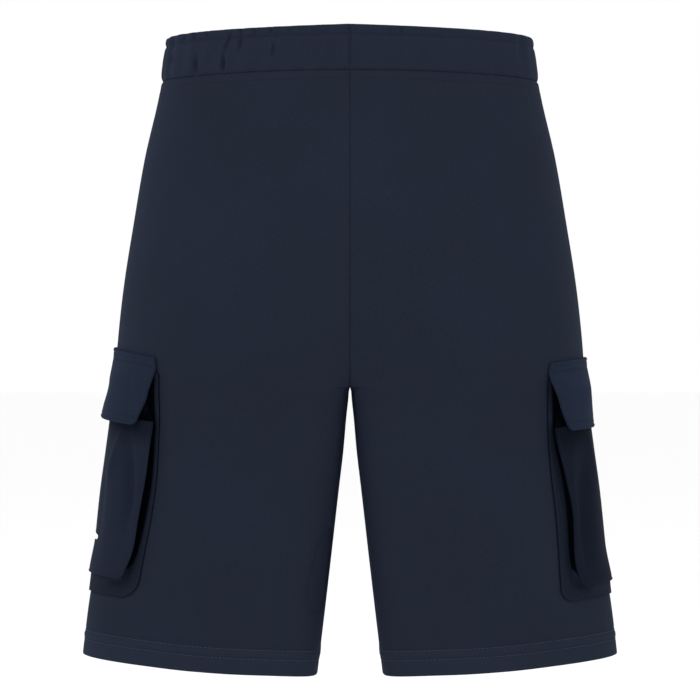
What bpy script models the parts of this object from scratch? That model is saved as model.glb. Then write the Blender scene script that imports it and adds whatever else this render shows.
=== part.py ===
"""Jogging shorts with two bellows pockets, hollow and filled out as when they are worn.

Metres. +X is the wearer's right, +Y the wearer's front, +Z is up. The origin is the
centre of the waistband, where the wearer's waist holds the shorts.

Each leg is a ring of cloth at every height. Above the crotch the two rings run into each
other at x = 0, which gives the centre seams, and below it each ring closes at its inseam.
Every piece is a wall: an outer sheet of points on these rings and an inner one behind it.
What lies on a panel is made from the same points, moved out.
"""

from collections import namedtuple

import bmesh
import bpy
import numpy as np

# Cloth and seams
CLOTH = 0.0016  # brushed sweatshirt jersey
SEAM_GAP = 0.0003  # between pieces that are sewn together
LYING_GAP = 0.0006  # under what lies on a panel, whose facets leave the true curve a little
HALF_GAP = SEAM_GAP / 2

# Levels of the body
CROTCH = -0.268
HEM_TURN_UP = 0.0207
HEM_WALL = 0.0030  # two layers
TURN_UP_STEP = 0.0008  # over which the second layer begins

# The hem's edge: its height at some distances from x = 0
HemPoint = namedtuple("HemPoint", "out height")
HEM_LINE = (
    HemPoint(0.027, -0.4951),
    HemPoint(0.060, -0.4936),
    HemPoint(0.090, -0.4925),
    HemPoint(0.125, -0.4900),
    HemPoint(0.160, -0.4863),
    HemPoint(0.212, -0.4810),
)

# Waistband: a strip folded over elastic
BAND_TOP = 0.0102  # at the sides
BAND_SEAM = -0.0243  # its seam to the legs, at the sides
BACK_LIFT = 0.0050  # the band's top is higher at the centre back
SEAM_BACK_LIFT = 0.0040
FRONT_DROP = 0.0070  # and both are lower at the centre front
GATHERS = 44
COLUMNS_PER_GATHER = 5
GATHER_DEPTH = 0.0007

# Grids of the four leg panels
PANEL_COLUMNS = 16
SEAT_ROWS = 15
LEG_ROWS = 9
FORK_ABOVE = -0.19  # the columns bend towards the inseam between these two levels
FORK_BELOW = -0.33
FORK_BENDS = (0.6, 2.0)  # the least and the most that their spacing changes
FORK_KNEE = 0.85  # the share of the arc past which they close up or spread

# The outline of one leg's ring from the front and from the side. inner is where the ring
# would be innermost: left of x = 0 it is cut by the centre seam, whose dip has the fillet.
# middle is where it is deepest.
Section = namedtuple(
    "Section", "height half_width inner middle back front square inner_square fillet"
)
SECTIONS = (
    Section(0.016, 0.1448, -0.1448, 0.0000, 0.1085, 0.1150, 2.25, 2.25, 0.012),
    Section(-0.013, 0.1484, -0.1484, 0.0000, 0.1100, 0.1165, 2.25, 2.25, 0.012),
    Section(-0.038, 0.1530, -0.1530, 0.0000, 0.1150, 0.1185, 2.25, 2.25, 0.012),
    Section(-0.086, 0.1640, -0.1640, 0.0000, 0.1285, 0.1230, 2.28, 2.28, 0.012),
    Section(-0.140, 0.1732, -0.1732, 0.0000, 0.1385, 0.1250, 2.30, 2.30, 0.012),
    Section(-0.180, 0.1796, -0.1700, 0.0050, 0.1400, 0.1240, 2.30, 2.40, 0.013),
    Section(-0.206, 0.1829, -0.1180, 0.0325, 0.1370, 0.1225, 2.28, 2.65, 0.012),
    Section(-0.236, 0.1858, -0.0560, 0.0660, 0.1290, 0.1175, 2.25, 3.20, 0.009),
    Section(-0.254, 0.1870, -0.0300, 0.0830, 0.1230, 0.1135, 2.22, 4.30, 0.005),
    Section(-0.262, 0.1877, -0.0190, 0.0880, 0.1201, 0.1115, 2.21, 5.20, 0.003),
    Section(-0.266, 0.1880, -0.0110, 0.0902, 0.1187, 0.1105, 2.20, 6.40, 0.002),
    Section(-0.268, 0.1882, 0.0010, 0.0912, 0.1180, 0.1100, 2.20, 11.00, 0.001),
    Section(-0.278, 0.1889, 0.0017, 0.0945, 0.1148, 0.1073, 2.19, 9.50, 0.001),
    Section(-0.290, 0.1898, 0.0029, 0.0965, 0.1115, 0.1045, 2.18, 8.40, 0.001),
    Section(-0.318, 0.1934, 0.0053, 0.0995, 0.1050, 0.0985, 2.16, 7.20, 0.001),
    Section(-0.350, 0.1978, 0.0090, 0.1034, 0.0990, 0.0930, 2.14, 6.70, 0.001),
    Section(-0.410, 0.2042, 0.0158, 0.1100, 0.0910, 0.0850, 2.12, 6.20, 0.001),
    Section(-0.446, 0.2095, 0.0200, 0.1148, 0.0875, 0.0800, 2.10, 6.00, 0.001),
    Section(-0.506, 0.2165, 0.0272, 0.1219, 0.0835, 0.0750, 2.10, 6.00, 0.001),
)
ARC_STEPS = 160  # chords that measure the arc of a quarter ring

# The waistband's section, from its seam up over the fold and down inside
BandPoint = namedtuple("BandPoint", "level out gathered")
BAND_SECTION = (
    BandPoint(0.00, 0.0003, 0.5),
    BandPoint(0.40, 0.0010, 1.0),
    BandPoint(0.78, 0.0002, 0.7),
    BandPoint(0.93, 0.0006, 1.0),
    BandPoint(1.00, -0.0012, 0.6),
    BandPoint(0.93, -0.0029, 0.0),
    BandPoint(0.00, -0.0032, 0.0),
)

# Pockets. Along the leg they are measured down from the flap's top edge at the side seam,
# and round the leg from the side seam. corner is the round of the flange's lower corners.
Pocket = namedtuple("Pocket", "side top back_sag foot panel_foot corner flap_flare")
POCKETS = {
    "left": Pocket(-1, -0.2362, 0.042, 0.1935, 0.1790, 0.019, 0.0044),
    "right": Pocket(1, -0.2440, 0.016, 0.1880, 0.1780, 0.010, 0.0000),
}
SAG_FADES = 0.19  # down the pocket, over which the sag at the back goes
POCKET_LEAN = 0.0985  # square to its leg, a pocket climbs this much for each metre outwards

# Half the width of each pocket at some depths: out to the flange that is sewn to the leg, and
# to the edge of the panel, which the bellows hold off the leg
Width = namedtuple("Width", "down flange panel")
WIDTHS = {
    "left": (
        Width(0.020, 0.1115, 0.1100),
        Width(0.050, 0.1090, 0.1076),
        Width(0.063, 0.1076, 0.1052),
        Width(0.096, 0.1048, 0.0998),
        Width(0.129, 0.0996, 0.0932),
        Width(0.154, 0.0944, 0.0886),
        Width(0.179, 0.0900, 0.0790),
    ),
    "right": (
        Width(0.020, 0.1040, 0.1020),
        Width(0.050, 0.1012, 0.0996),
        Width(0.059, 0.1005, 0.0980),
        Width(0.091, 0.0970, 0.0892),
        Width(0.124, 0.0928, 0.0824),
        Width(0.155, 0.0908, 0.0816),
        Width(0.179, 0.0905, 0.0760),
    ),
}

# The same for the flaps
FlapWidth = namedtuple("FlapWidth", "down half")
FLAP_WIDTHS = {
    "left": (
        FlapWidth(0.000, 0.1075),
        FlapWidth(0.008, 0.1092),
        FlapWidth(0.021, 0.1086),
        FlapWidth(0.032, 0.1055),
        FlapWidth(0.042, 0.1010),
        FlapWidth(0.056, 0.0950),
    ),
    "right": (
        FlapWidth(0.000, 0.1012),
        FlapWidth(0.008, 0.1038),
        FlapWidth(0.020, 0.1028),
        FlapWidth(0.031, 0.0988),
        FlapWidth(0.048, 0.0902),
        FlapWidth(0.056, 0.0856),
    ),
}

PANEL_WALL = 0.0013
PANEL_MOUTH = 0.050  # the panel's top edge, under the flap
PANEL_CORNER = 0.004
PANEL_REST = 0.0006  # the panel's clearance at the side seam
PANEL_FOOT_REST = 0.0026  # the same at its foot, over the gusset
PANEL_LIFT = 0.0078  # how much more the bellows hold it off at its sides
LIFT_FROM = 0.014
LIFT_TO = 0.080

GUSSET_WALL = 0.0010
GUSSET_TOP = 0.012  # the strip starts flat on the leg under the flap
BELLOWS_FROM = 0.036  # and has become a bellows by the panel's mouth
PANEL_OVERLAP = 0.0012  # the panel's edge reaches this far over the gusset's
FOLD_INSET = 0.0130  # from the flange to the bellows' inward fold
FOLD_CORNER = 0.006
# The bellows' section from the flange in to the fold and back out to the panel's edge, and
# its share of the panel's clearance
FoldPoint = namedtuple("FoldPoint", "to_fold to_edge lift")
FOLD_SECTION = (
    FoldPoint(0.00, 0.00, 0.00),
    FoldPoint(0.50, 0.00, 0.00),
    FoldPoint(0.88, 0.00, 0.04),
    FoldPoint(1.00, 0.00, 0.42),
    FoldPoint(1.00, 0.12, 0.72),
    FoldPoint(1.00, 0.55, 0.90),
    FoldPoint(1.00, 1.00, 1.00),
)

FLAP_WALL = 0.0020
FLAP_LENGTH = 0.0558
FLAP_CORNER = 0.004
FLAP_RISES_BY = 0.027  # it has risen off the leg by here
FLAP_BACK_RISE = 0.0018  # its lower edge climbs to its back corner
FLAP_SEWN = 0.007  # sewn flat to the leg over this height

Piece = namedtuple("Piece", "colour roughness")
BODY_CLOTH = Piece("#252C3A", 0.92)
BAND_CLOTH = Piece("#282E3D", 0.90)
POCKET_CLOTH = Piece("#272E3E", 0.92)
FLAP_CLOTH = Piece("#2A3142", 0.92)


def smooth_step(value, start, end):
    """0 before start, 1 after end, and a smooth rise between them."""
    share = np.clip((value - start) / (end - start), 0.0, 1.0)
    return share * share * (3.0 - 2.0 * share)


def smooth_through(at, value, where):
    """A cubic through the values that never overshoots."""
    at, value = np.array(at), np.array(value)
    rise = np.diff(value) / np.diff(at)
    before, after = rise[:-1], rise[1:]
    same_way = before * after > 0
    total = np.where(same_way, before + after, 1.0)
    slope = np.where(same_way, 2.0 * before * after / total, 0.0)
    slope = np.concatenate([rise[:1], slope, rise[-1:]])
    where = np.clip(where, at[0], at[-1])
    low = np.clip(np.searchsorted(at, where) - 1, 0, len(at) - 2)
    span = at[low + 1] - at[low]
    t = (where - at[low]) / span
    return (
        value[low] * (1 + 2 * t) * (1 - t) ** 2
        + slope[low] * span * t * (1 - t) ** 2
        + value[low + 1] * t * t * (3 - 2 * t)
        + slope[low + 1] * span * t * t * (t - 1)
    )


def column(name, height):
    """One column of the sections at any height."""
    rows = sorted(SECTIONS, key=lambda row: row.height)
    return smooth_through([row.height for row in rows], [getattr(row, name) for row in rows], height)


def quarter_ring(towards, height):
    """Points of the ring at each height from the side seam to the centre seam or inseam.

    A superellipse, cut where it would pass x = 0. towards is -1 for the back and 1 for the
    front. Returns x, y and the arc from the side seam, with the steps in the last axis.
    """
    fillet = column("fillet", height)
    outer = np.hypot(column("half_width", height), fillet)
    middle = column("middle", height)
    inner_radius = middle - column("inner", height)
    outer_power = 2.0 / column("square", height)
    inner_power = 2.0 / column("inner_square", height)
    depth = np.where(towards < 0, column("back", height), column("front", height))
    past = fillet - middle
    cut = np.clip(past / np.where(past < 0, inner_radius, outer - middle), -1.0, 1.0)
    cut_power = np.where(cut < 0, inner_power, outer_power)
    last = np.arccos(np.sign(cut) * np.abs(cut) ** (1.0 / cut_power))
    angle = last[..., None] * np.linspace(0.0, 1.0, ARC_STEPS + 1)
    cosine = np.cos(angle)
    power = np.where(cosine < 0, inner_power[..., None], outer_power[..., None])
    radius = np.where(cosine < 0, -inner_radius[..., None], (outer - middle)[..., None])
    across = middle[..., None] + radius * np.abs(cosine) ** power
    x = np.sqrt(np.maximum(across**2 - fillet[..., None] ** 2, 0.0))
    y = towards[..., None] * depth[..., None] * np.abs(np.sin(angle)) ** power
    steps = np.hypot(np.diff(x, axis=-1), np.diff(y, axis=-1))
    arc = np.concatenate([np.zeros_like(x[..., :1]), np.cumsum(steps, axis=-1)], axis=-1)
    return x, y, arc


def arc_length(towards, height):
    """The arc from the side seam to the centre seam or inseam."""
    towards, height = np.broadcast_arrays(np.asarray(towards, float), np.asarray(height, float))
    return quarter_ring(towards, height)[2][..., -1]


def place_across(share, towards, height):
    """The arc from the side seam for a share of a panel's width.

    The columns run straight down the cloth past the crotch, and only those near the seam
    close up or spread with the curve of the fork.
    """
    reach = arc_length(towards, height)
    level = smooth_step(-height, -FORK_ABOVE, -FORK_BELOW)
    even = arc_length(towards, FORK_ABOVE) * (1 - level) + arc_length(towards, FORK_BELOW) * level
    even = np.where((height < FORK_ABOVE) & (height > FORK_BELOW), even, reach)
    share = np.abs(share)
    knee = FORK_KNEE * np.minimum(even, reach)
    past = np.clip((even * share - knee) / (even - knee), 0.0, 1.0)
    bend = np.clip((even - knee) / (reach - knee), *FORK_BENDS)
    around = np.where(past > 0, knee + (reach - knee) * (1 - (1 - past) ** bend), even * share)
    return np.clip(around, HALF_GAP, reach - HALF_GAP) * towards


def on_ring(side, around, height):
    """The point of the cloth at an arc from the side seam, back negative, at a height."""
    around, height = np.broadcast_arrays(np.asarray(around, float), np.asarray(height, float))
    towards = np.where(around < 0, -1.0, 1.0)
    x, y, arc = quarter_ring(towards, height)
    wanted = np.abs(around)[..., None]
    low = np.clip((arc < wanted).sum(axis=-1, keepdims=True) - 1, 0, ARC_STEPS - 1)
    start = np.take_along_axis(arc, low, -1)
    end = np.take_along_axis(arc, low + 1, -1)
    share = (wanted - start) / np.maximum(end - start, 1e-9)

    def between(values):
        first = np.take_along_axis(values, low, -1)
        second = np.take_along_axis(values, low + 1, -1)
        return (first + share * (second - first))[..., 0]

    return np.stack([side * between(x), between(y), height], axis=-1)


def normal_at(side, around, height, step=0.0008):
    """The outward normal there, from the two directions along the cloth."""
    limit = arc_length(np.where(np.asarray(around) < 0, -1.0, 1.0), height)
    inside = np.clip(around, -limit + step, limit - step)
    inside = np.where(np.abs(inside) < step, np.where(np.asarray(around) < 0, -step, step), inside)
    along = on_ring(side, inside + step * 0.9, height) - on_ring(side, inside - step * 0.9, height)
    share = inside / limit

    def at_share(level):
        reach = arc_length(np.where(inside < 0, -1.0, 1.0), level)
        return on_ring(side, share * reach, level)

    up = at_share(height + step) - at_share(height - step)
    normal = np.cross(along, up) * np.asarray(side, float)[..., None]
    return normal / np.linalg.norm(normal, axis=-1, keepdims=True)


def hem_height(x):
    """The hem's edge climbs outwards, square to the leg, which leans."""
    return smooth_through([row.out for row in HEM_LINE], [row.height for row in HEM_LINE], np.abs(x))


def band_top(share):
    """The waistband's top edge: lifted at the back and lowered at the front."""
    return BAND_TOP + np.where(share < 0, BACK_LIFT, -FRONT_DROP) * np.abs(share) ** 1.3


def band_seam(share):
    """The seam below the waistband."""
    end = np.where(share < 0, SEAM_BACK_LIFT, -FRONT_DROP)
    return BAND_SEAM + end * smooth_step(np.abs(share), 0.0, 1.0)


def closed_wall(name, outer, inner, piece):
    """A closed solid between two sheets of points, rows by columns, joined all round."""
    rows, columns = outer.shape[:2]
    points = np.concatenate([outer.reshape(-1, 3), inner.reshape(-1, 3)])
    behind = rows * columns
    faces = []
    for row in range(rows - 1):
        for col in range(columns - 1):
            corner = row * columns + col
            ring = (corner, corner + 1, corner + columns + 1, corner + columns)
            faces.append(ring)
            faces.append(tuple(behind + index for index in reversed(ring)))
    top = list(range(columns))
    right = [row * columns + columns - 1 for row in range(1, rows)]
    bottom = [behind - 2 - index for index in range(columns - 1)]
    left = [row * columns for row in range(rows - 2, 0, -1)]
    border = top + right + bottom + left
    for first, second in zip(border, border[1:] + border[:1]):
        faces.append((second, first, behind + first, behind + second))
    return make_object(name, points, faces, piece)


def closed_loops(name, loops, piece):
    """A closed solid through a row of section loops, with a cap at each end."""
    count, size = loops.shape[:2]
    faces = []
    for station in range(count - 1):
        for point in range(size):
            following = (point + 1) % size
            faces.append(
                (
                    station * size + point,
                    station * size + following,
                    (station + 1) * size + following,
                    (station + 1) * size + point,
                )
            )
    last = (count - 1) * size
    half = size // 2
    for point in range(half - 1):
        pair = (point, point + 1, size - 2 - point, size - 1 - point)
        faces.append(tuple(reversed(pair)))
        faces.append(tuple(last + index for index in pair))
    if size % 2:
        faces.append((half + 1, half, half - 1))
        faces.append((last + half - 1, last + half, last + half + 1))
    return make_object(name, loops.reshape(-1, 3), faces, piece)


def make_object(name, points, faces, piece):
    """A mesh object with its faces pointing out, smooth over its rounds, and its own cloth."""
    mesh = bpy.data.meshes.new(name)
    mesh.from_pydata([tuple(point) for point in points], [], faces)
    shape = bmesh.new()
    shape.from_mesh(mesh)
    bmesh.ops.recalc_face_normals(shape, faces=shape.faces)
    shape.to_mesh(mesh)
    shape.free()
    mesh.shade_smooth()
    mesh.set_sharp_from_angle(angle=np.radians(50))
    thing = bpy.data.objects.new(name, mesh)
    bpy.context.scene.collection.objects.link(thing)
    mesh.materials.append(cloth_material(name, piece))
    return thing


def cloth_material(name, piece):
    """A matt cloth of one colour, given as sRGB hex."""
    channels = [int(piece.colour[start : start + 2], 16) / 255 for start in (1, 3, 5)]
    linear = [c / 12.92 if c <= 0.04045 else ((c + 0.055) / 1.055) ** 2.4 for c in channels]
    material = bpy.data.materials.new(name + "_cloth")
    material.use_nodes = True
    shader = material.node_tree.nodes["Principled BSDF"]
    shader.inputs["Base Color"].default_value = (*linear, 1.0)
    shader.inputs["Roughness"].default_value = piece.roughness
    shader.inputs["Metallic"].default_value = 0.0
    return material


def panel_rows():
    """Each row of a leg panel and its wall: how far down it is, and how thick the cloth is there.

    0 is the band's seam, 1 the crotch, 2 the edge of the hem's turn-up and 3 the hem. The
    rows are closer above the crotch, where the seat turns into the legs.
    """
    seat = [(1 - (1 - row / SEAT_ROWS) ** 1.5, CLOTH) for row in range(SEAT_ROWS + 1)]
    leg = [(1 + (row / LEG_ROWS) ** 1.2, CLOTH) for row in range(1, LEG_ROWS + 1)]
    return seat + leg + [(2 + TURN_UP_STEP / HEM_TURN_UP, HEM_WALL), (3.0, HEM_WALL)]


def row_level(side, towards, share, down):
    """The heights along one row: level at the crotch, and square to the leg at the hem."""
    seam = band_seam(share) - SEAM_GAP
    level = seam + (CROTCH - seam) * min(down, 1.0)
    if down <= 1.0:
        return level
    for _ in range(3):
        x = on_ring(side, place_across(share, towards, level), level)[..., 0]
        turn_up = hem_height(x) + HEM_TURN_UP
        level = CROTCH + (turn_up - CROTCH) * min(down - 1.0, 1.0) - HEM_TURN_UP * max(down - 2.0, 0.0)
    return level


def leg_panel(name, side, towards):
    """A front or back leg: from the side seam to the centre seam and the inseam below it."""
    share = towards * np.linspace(0.0, 1.0, PANEL_COLUMNS + 1)
    outer, inner = [], []
    for down, wall in panel_rows():
        level = row_level(side, towards, share, down)
        around = place_across(share, towards, level)
        sheet = on_ring(side, around, level)
        back = sheet - wall * normal_at(side, around, level)
        back[..., 0] = side * np.maximum(side * back[..., 0], HALF_GAP)
        outer.append(sheet)
        inner.append(back)
    return closed_wall(name, np.array(outer), np.array(inner), BODY_CLOTH)


def gather_wave(turn):
    """The elastic's gathers round the waist, uneven in spacing and depth, from -1 to 1.

    turn goes from 0 at the centre back by the wearer's left side to 1. The gathers are
    deepest over the left back.
    """
    uneven = 0.55 * np.sin(2 * np.pi * 3 * turn + 0.4) + 0.35 * np.sin(2 * np.pi * 7 * turn)
    depth = 0.45 + 0.35 * np.cos(2 * np.pi * (turn - 0.12)) + 0.2 * np.sin(2 * np.pi * 5 * turn)
    return np.sin(2 * np.pi * GATHERS * turn + uneven) * np.clip(depth, 0.15, 1.0)


def waistband():
    """One strip round the waist, its ends meeting at the centre back."""
    turn = np.linspace(0.0, 1.0, GATHERS * COLUMNS_PER_GATHER + 1)
    side = np.where(turn <= 0.5, -1.0, 1.0)
    share = np.where(turn <= 0.5, 4 * turn - 1, 3 - 4 * turn)
    loops = []
    for point in BAND_SECTION:
        height = band_seam(share) + (band_top(share) - band_seam(share)) * point.level
        reach = arc_length(np.where(share < 0, -1.0, 1.0), height)
        around = np.clip(share * reach, -reach + HALF_GAP, reach)
        sheet = on_ring(side, around, height)
        out = point.out + point.gathered * GATHER_DEPTH * gather_wave(turn)
        flat = normal_at(side, around, height)
        flat[..., 2] = 0.0
        flat[0, 0] = flat[-1, 0] = 0.0
        loops.append(sheet + out[:, None] * flat)
    return closed_loops("waistband", np.array(loops).transpose(1, 0, 2), BAND_CLOTH)


def pocket_level(pocket, around, down):
    """The height of a point of the pocket, square to the leg and with its sag at the back."""
    fading = np.clip(1 - down / SAG_FADES, -0.1, 1)
    level = pocket.top - down + pocket.back_sag * np.minimum(around, 0) * fading
    for _ in range(2):
        x = np.abs(on_ring(pocket.side, around, level)[..., 0])
        lean = POCKET_LEAN * (x - column("half_width", level))
        level = pocket.top - down + lean + pocket.back_sag * np.minimum(around, 0) * fading
    return level


def off_leg(pocket, around, down, out):
    """A point of the pocket, moved out from the leg."""
    level = pocket_level(pocket, around, down)
    cloth = on_ring(pocket.side, around, level)
    return cloth + np.asarray(out)[..., None] * normal_at(pocket.side, around, level)


def width_at(rows, name, down):
    """Half a pocket's width at any depth, from one column of its rows."""
    return smooth_through([row.down for row in rows], [getattr(row, name) for row in rows], down)


def panel_clearance(pocket, around, down):
    """How far the pocket panel's inside is from the leg: held off by the bellows at its sides."""
    foot = smooth_step(down, pocket.panel_foot - 0.030, pocket.panel_foot)
    rest = PANEL_REST + (PANEL_FOOT_REST - PANEL_REST) * foot
    mouth = 0.8 + 0.2 * smooth_step(down, PANEL_MOUTH, PANEL_MOUTH + 0.03) - 0.2 * foot
    return rest + PANEL_LIFT * mouth * smooth_step(np.abs(around), LIFT_FROM, LIFT_TO)


def rounded_half(down, half, foot, corner):
    """Half the width of a shape whose lower corners are rounded."""
    into = np.clip(down - (foot - corner), 0.0, corner)
    return half - corner + np.sqrt(np.maximum(corner**2 - into**2, 0.0))


def pocket_panel(name, pocket, widths):
    """The pocket's face: open at the top, rounded at its lower corners."""
    foot = pocket.panel_foot
    straight = np.linspace(PANEL_MOUTH, foot - PANEL_CORNER, 11)
    turn = np.radians([30, 60, 90])
    down = np.concatenate([straight, foot - PANEL_CORNER + PANEL_CORNER * np.sin(turn)])
    half = rounded_half(down, width_at(widths, "panel", down), foot, PANEL_CORNER)
    share = np.linspace(-1.0, 1.0, 17)
    around = half[:, None] * share
    down = np.broadcast_to(down[:, None], around.shape)
    clear = panel_clearance(pocket, around, down)
    outer = off_leg(pocket, around, down, clear + PANEL_WALL)
    inner = off_leg(pocket, around, down, clear)
    return closed_wall(name, outer, inner, POCKET_CLOTH)


def u_path(widths, name, inset, foot, corner):
    """A path down the back of the pocket, along its foot and up its front, round its corners.

    It runs inside one of the pocket's widths by an inset. Returns around and down. Every path
    of the gusset has the same stations, so the strip between two of them never crosses itself.
    """
    under_flap = np.linspace(GUSSET_TOP, PANEL_MOUTH, 6)[:-1]
    side = np.concatenate([under_flap, np.linspace(PANEL_MOUTH + 0.002, foot - corner, 9)])
    half = width_at(widths, name, side) - inset
    turn = np.radians([22.5, 45, 67.5, 90])
    corner_around = half[-1] - corner + corner * np.cos(turn)
    corner_down = foot - corner + corner * np.sin(turn)
    along = np.linspace(half[-1] - corner, 0.0, 6)[1:]
    around = np.concatenate([half, corner_around, along])
    down = np.concatenate([side, corner_down, np.full(along.shape, foot)])
    around = np.concatenate([-around, around[-2::-1]])
    down = np.concatenate([down, down[-2::-1]])
    return around, down


def pocket_gusset(name, pocket, widths):
    """The bellows strip: its flange lies on the leg, it folds in under the panel and comes back out.

    Its section is flat under the flap, a fold at the pocket's sides and a plain slope along
    the foot.
    """
    flange = u_path(widths, "flange", 0.0, pocket.foot, pocket.corner)
    fold = u_path(widths, "flange", FOLD_INSET, pocket.foot - FOLD_INSET, FOLD_CORNER)
    edge = u_path(widths, "panel", PANEL_OVERLAP, pocket.panel_foot - PANEL_OVERLAP, PANEL_CORNER)
    rest = LYING_GAP + GUSSET_WALL / 2
    top = panel_clearance(pocket, *edge) - LYING_GAP - GUSSET_WALL / 2
    side_now = width_at(widths, "panel", edge[1])
    at_side = smooth_step(np.abs(edge[0]), side_now - 0.020, side_now - 0.004)
    open_now = smooth_step(edge[1], BELLOWS_FROM, PANEL_MOUTH)

    middle = []
    for index, point in enumerate(FOLD_SECTION):
        slope = index / (len(FOLD_SECTION) - 1)
        bent = [f + (i - f) * point.to_fold + (e - i) * point.to_edge for f, i, e in zip(flange, fold, edge)]
        flat = [f + (i - f) * slope for f, i in zip(flange, fold)]
        side = [f + (b - f) * open_now for f, b in zip(flat, bent)]
        plain = [f + (e - f) * slope for f, e in zip(flange, edge)]
        around, down = [p + (s - p) * at_side for p, s in zip(plain, side)]
        rise = smooth_step(slope, 0.0, 1.0) * (1 - at_side) + point.lift * at_side * open_now
        middle.append(np.stack([around, down, rest + (top - rest) * rise], axis=-1))
    middle = np.array(middle).transpose(1, 0, 2)

    inward = np.stack([fold[0] - flange[0], fold[1] - flange[1]], axis=-1)
    inward /= np.linalg.norm(inward, axis=-1, keepdims=True)
    reach = np.einsum("spk,sk->sp", middle[..., :2] - middle[:, :1, :2], inward)
    tangent = np.stack([np.gradient(reach, axis=1), np.gradient(middle[..., 2], axis=1)], axis=-1)
    tangent /= np.linalg.norm(tangent, axis=-1, keepdims=True)
    half = GUSSET_WALL / 2

    def moved(by):
        shift = -tangent[..., 1] * by
        around = middle[..., 0] + shift * inward[:, None, 0]
        down = middle[..., 1] + shift * inward[:, None, 1]
        out = np.clip(middle[..., 2] + tangent[..., 0] * by, LYING_GAP, None)
        return off_leg(pocket, around, down, out)

    loops = np.concatenate([moved(half), moved(-half)[:, ::-1]], axis=1)
    return closed_loops(name, loops, POCKET_CLOTH)


def pocket_flap(name, pocket, widths):
    """The flap: sewn to the leg along its top and lying over the pocket's mouth."""
    straight = np.array([0.0, FLAP_SEWN, 0.014, 0.020, 0.027, 0.036, 0.044, FLAP_LENGTH - FLAP_CORNER])
    turn = np.radians([45, 90])
    down = np.concatenate([straight, FLAP_LENGTH - FLAP_CORNER + FLAP_CORNER * np.sin(turn)])
    half = rounded_half(down, width_at(widths, "half", down), FLAP_LENGTH, FLAP_CORNER)
    share = np.linspace(-1.0, 1.0, 17)
    around = half[:, None] * share
    rise = FLAP_BACK_RISE * np.minimum(share, 0.0) ** 2
    down = down[:, None] * (1 - rise / FLAP_LENGTH)
    over_panel = panel_clearance(pocket, around, np.maximum(down, PANEL_MOUTH)) + PANEL_WALL
    flare = pocket.flap_flare * smooth_step(down, FLAP_RISES_BY, FLAP_LENGTH)
    lifted = smooth_step(down, FLAP_SEWN - 0.002, FLAP_RISES_BY)
    clear = LYING_GAP + (over_panel + flare) * lifted
    outer = off_leg(pocket, around, down, clear + FLAP_WALL)
    inner = off_leg(pocket, around, down, clear)
    return closed_wall(name, outer, inner, FLAP_CLOTH)


def clear_scene():
    for thing in list(bpy.data.objects):
        bpy.data.objects.remove(thing, do_unlink=True)


clear_scene()
waistband()
for hand, side in (("left", -1), ("right", 1)):
    leg_panel("back_" + hand, side, -1)
    leg_panel("front_" + hand, side, 1)
for hand, pocket in POCKETS.items():
    pocket_panel("pocket_panel_" + hand, pocket, WIDTHS[hand])
    pocket_gusset("pocket_gusset_" + hand, pocket, WIDTHS[hand])
    pocket_flap("pocket_flap_" + hand, pocket, FLAP_WIDTHS[hand])
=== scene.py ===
"""Looks of the jogging shorts: navy sweatshirt jersey, a gathered waistband and two bellows pockets.

Metres, in the CAD frame: +X is the wearer's right, +Y the wearer's front, +Z is up and the
origin is the centre of the waistband. The camera looks along +Y at the back of the shorts.
"""

from collections import namedtuple

import bpy
import numpy as np
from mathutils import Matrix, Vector


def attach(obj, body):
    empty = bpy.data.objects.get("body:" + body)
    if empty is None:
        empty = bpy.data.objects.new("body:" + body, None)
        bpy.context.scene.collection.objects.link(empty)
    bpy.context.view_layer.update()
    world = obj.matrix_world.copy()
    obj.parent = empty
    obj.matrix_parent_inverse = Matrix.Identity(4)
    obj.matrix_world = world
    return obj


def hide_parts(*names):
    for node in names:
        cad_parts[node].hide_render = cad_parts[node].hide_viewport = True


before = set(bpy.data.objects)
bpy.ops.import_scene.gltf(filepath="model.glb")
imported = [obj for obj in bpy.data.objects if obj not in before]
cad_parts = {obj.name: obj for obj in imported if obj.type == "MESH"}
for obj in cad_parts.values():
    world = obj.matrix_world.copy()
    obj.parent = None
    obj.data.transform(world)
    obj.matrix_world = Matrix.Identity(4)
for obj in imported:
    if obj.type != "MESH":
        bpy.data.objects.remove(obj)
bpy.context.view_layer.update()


# ---------------------------------------------------------------------------------------
# Studio: a camera level with the middle of the shorts and far off, so that the hem is
# almost flat in the picture, over a pale floor. A white room lights the cloth evenly and
# two tall soft boxes brighten its sides.

CAMERA_DISTANCE = 3.7
VIEW_WIDTH = 0.560  # what the picture spans at the waistband's centre
VIEW_HEIGHT_AT = -0.2384
FLOOR_LEVEL = -0.640
FLOOR_HALF = 40.0
ROOM_LIGHT = 1.0

camera_data = bpy.data.cameras.new("studio_camera")
camera_data.lens = camera_data.sensor_width * CAMERA_DISTANCE / VIEW_WIDTH
camera = bpy.data.objects.new("studio_camera", camera_data)
camera.location = (0.0, -CAMERA_DISTANCE, VIEW_HEIGHT_AT)
camera.rotation_euler = (np.pi / 2, 0.0, 0.0)
bpy.context.scene.collection.objects.link(camera)
bpy.context.scene.camera = camera
bpy.context.scene.view_settings.view_transform = "Standard"


def linear(colour):
    """The linear channels of an sRGB hex colour."""
    channels = [int(colour[start : start + 2], 16) / 255 for start in (1, 3, 5)]
    return [c / 12.92 if c <= 0.04045 else ((c + 0.055) / 1.055) ** 2.4 for c in channels] + [1.0]


def add(material, kind, settings, links=()):
    """A shader node with its settings and its links, given as (input, node, output)."""
    node = material.node_tree.nodes.new(kind)
    for name, value in settings.items():
        if isinstance(name, str) and hasattr(node, name):
            setattr(node, name, value)
        else:
            node.inputs[name].default_value = value
    for socket, source, output in links:
        material.node_tree.links.new(source.outputs[output], node.inputs[socket])
    return node


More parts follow.
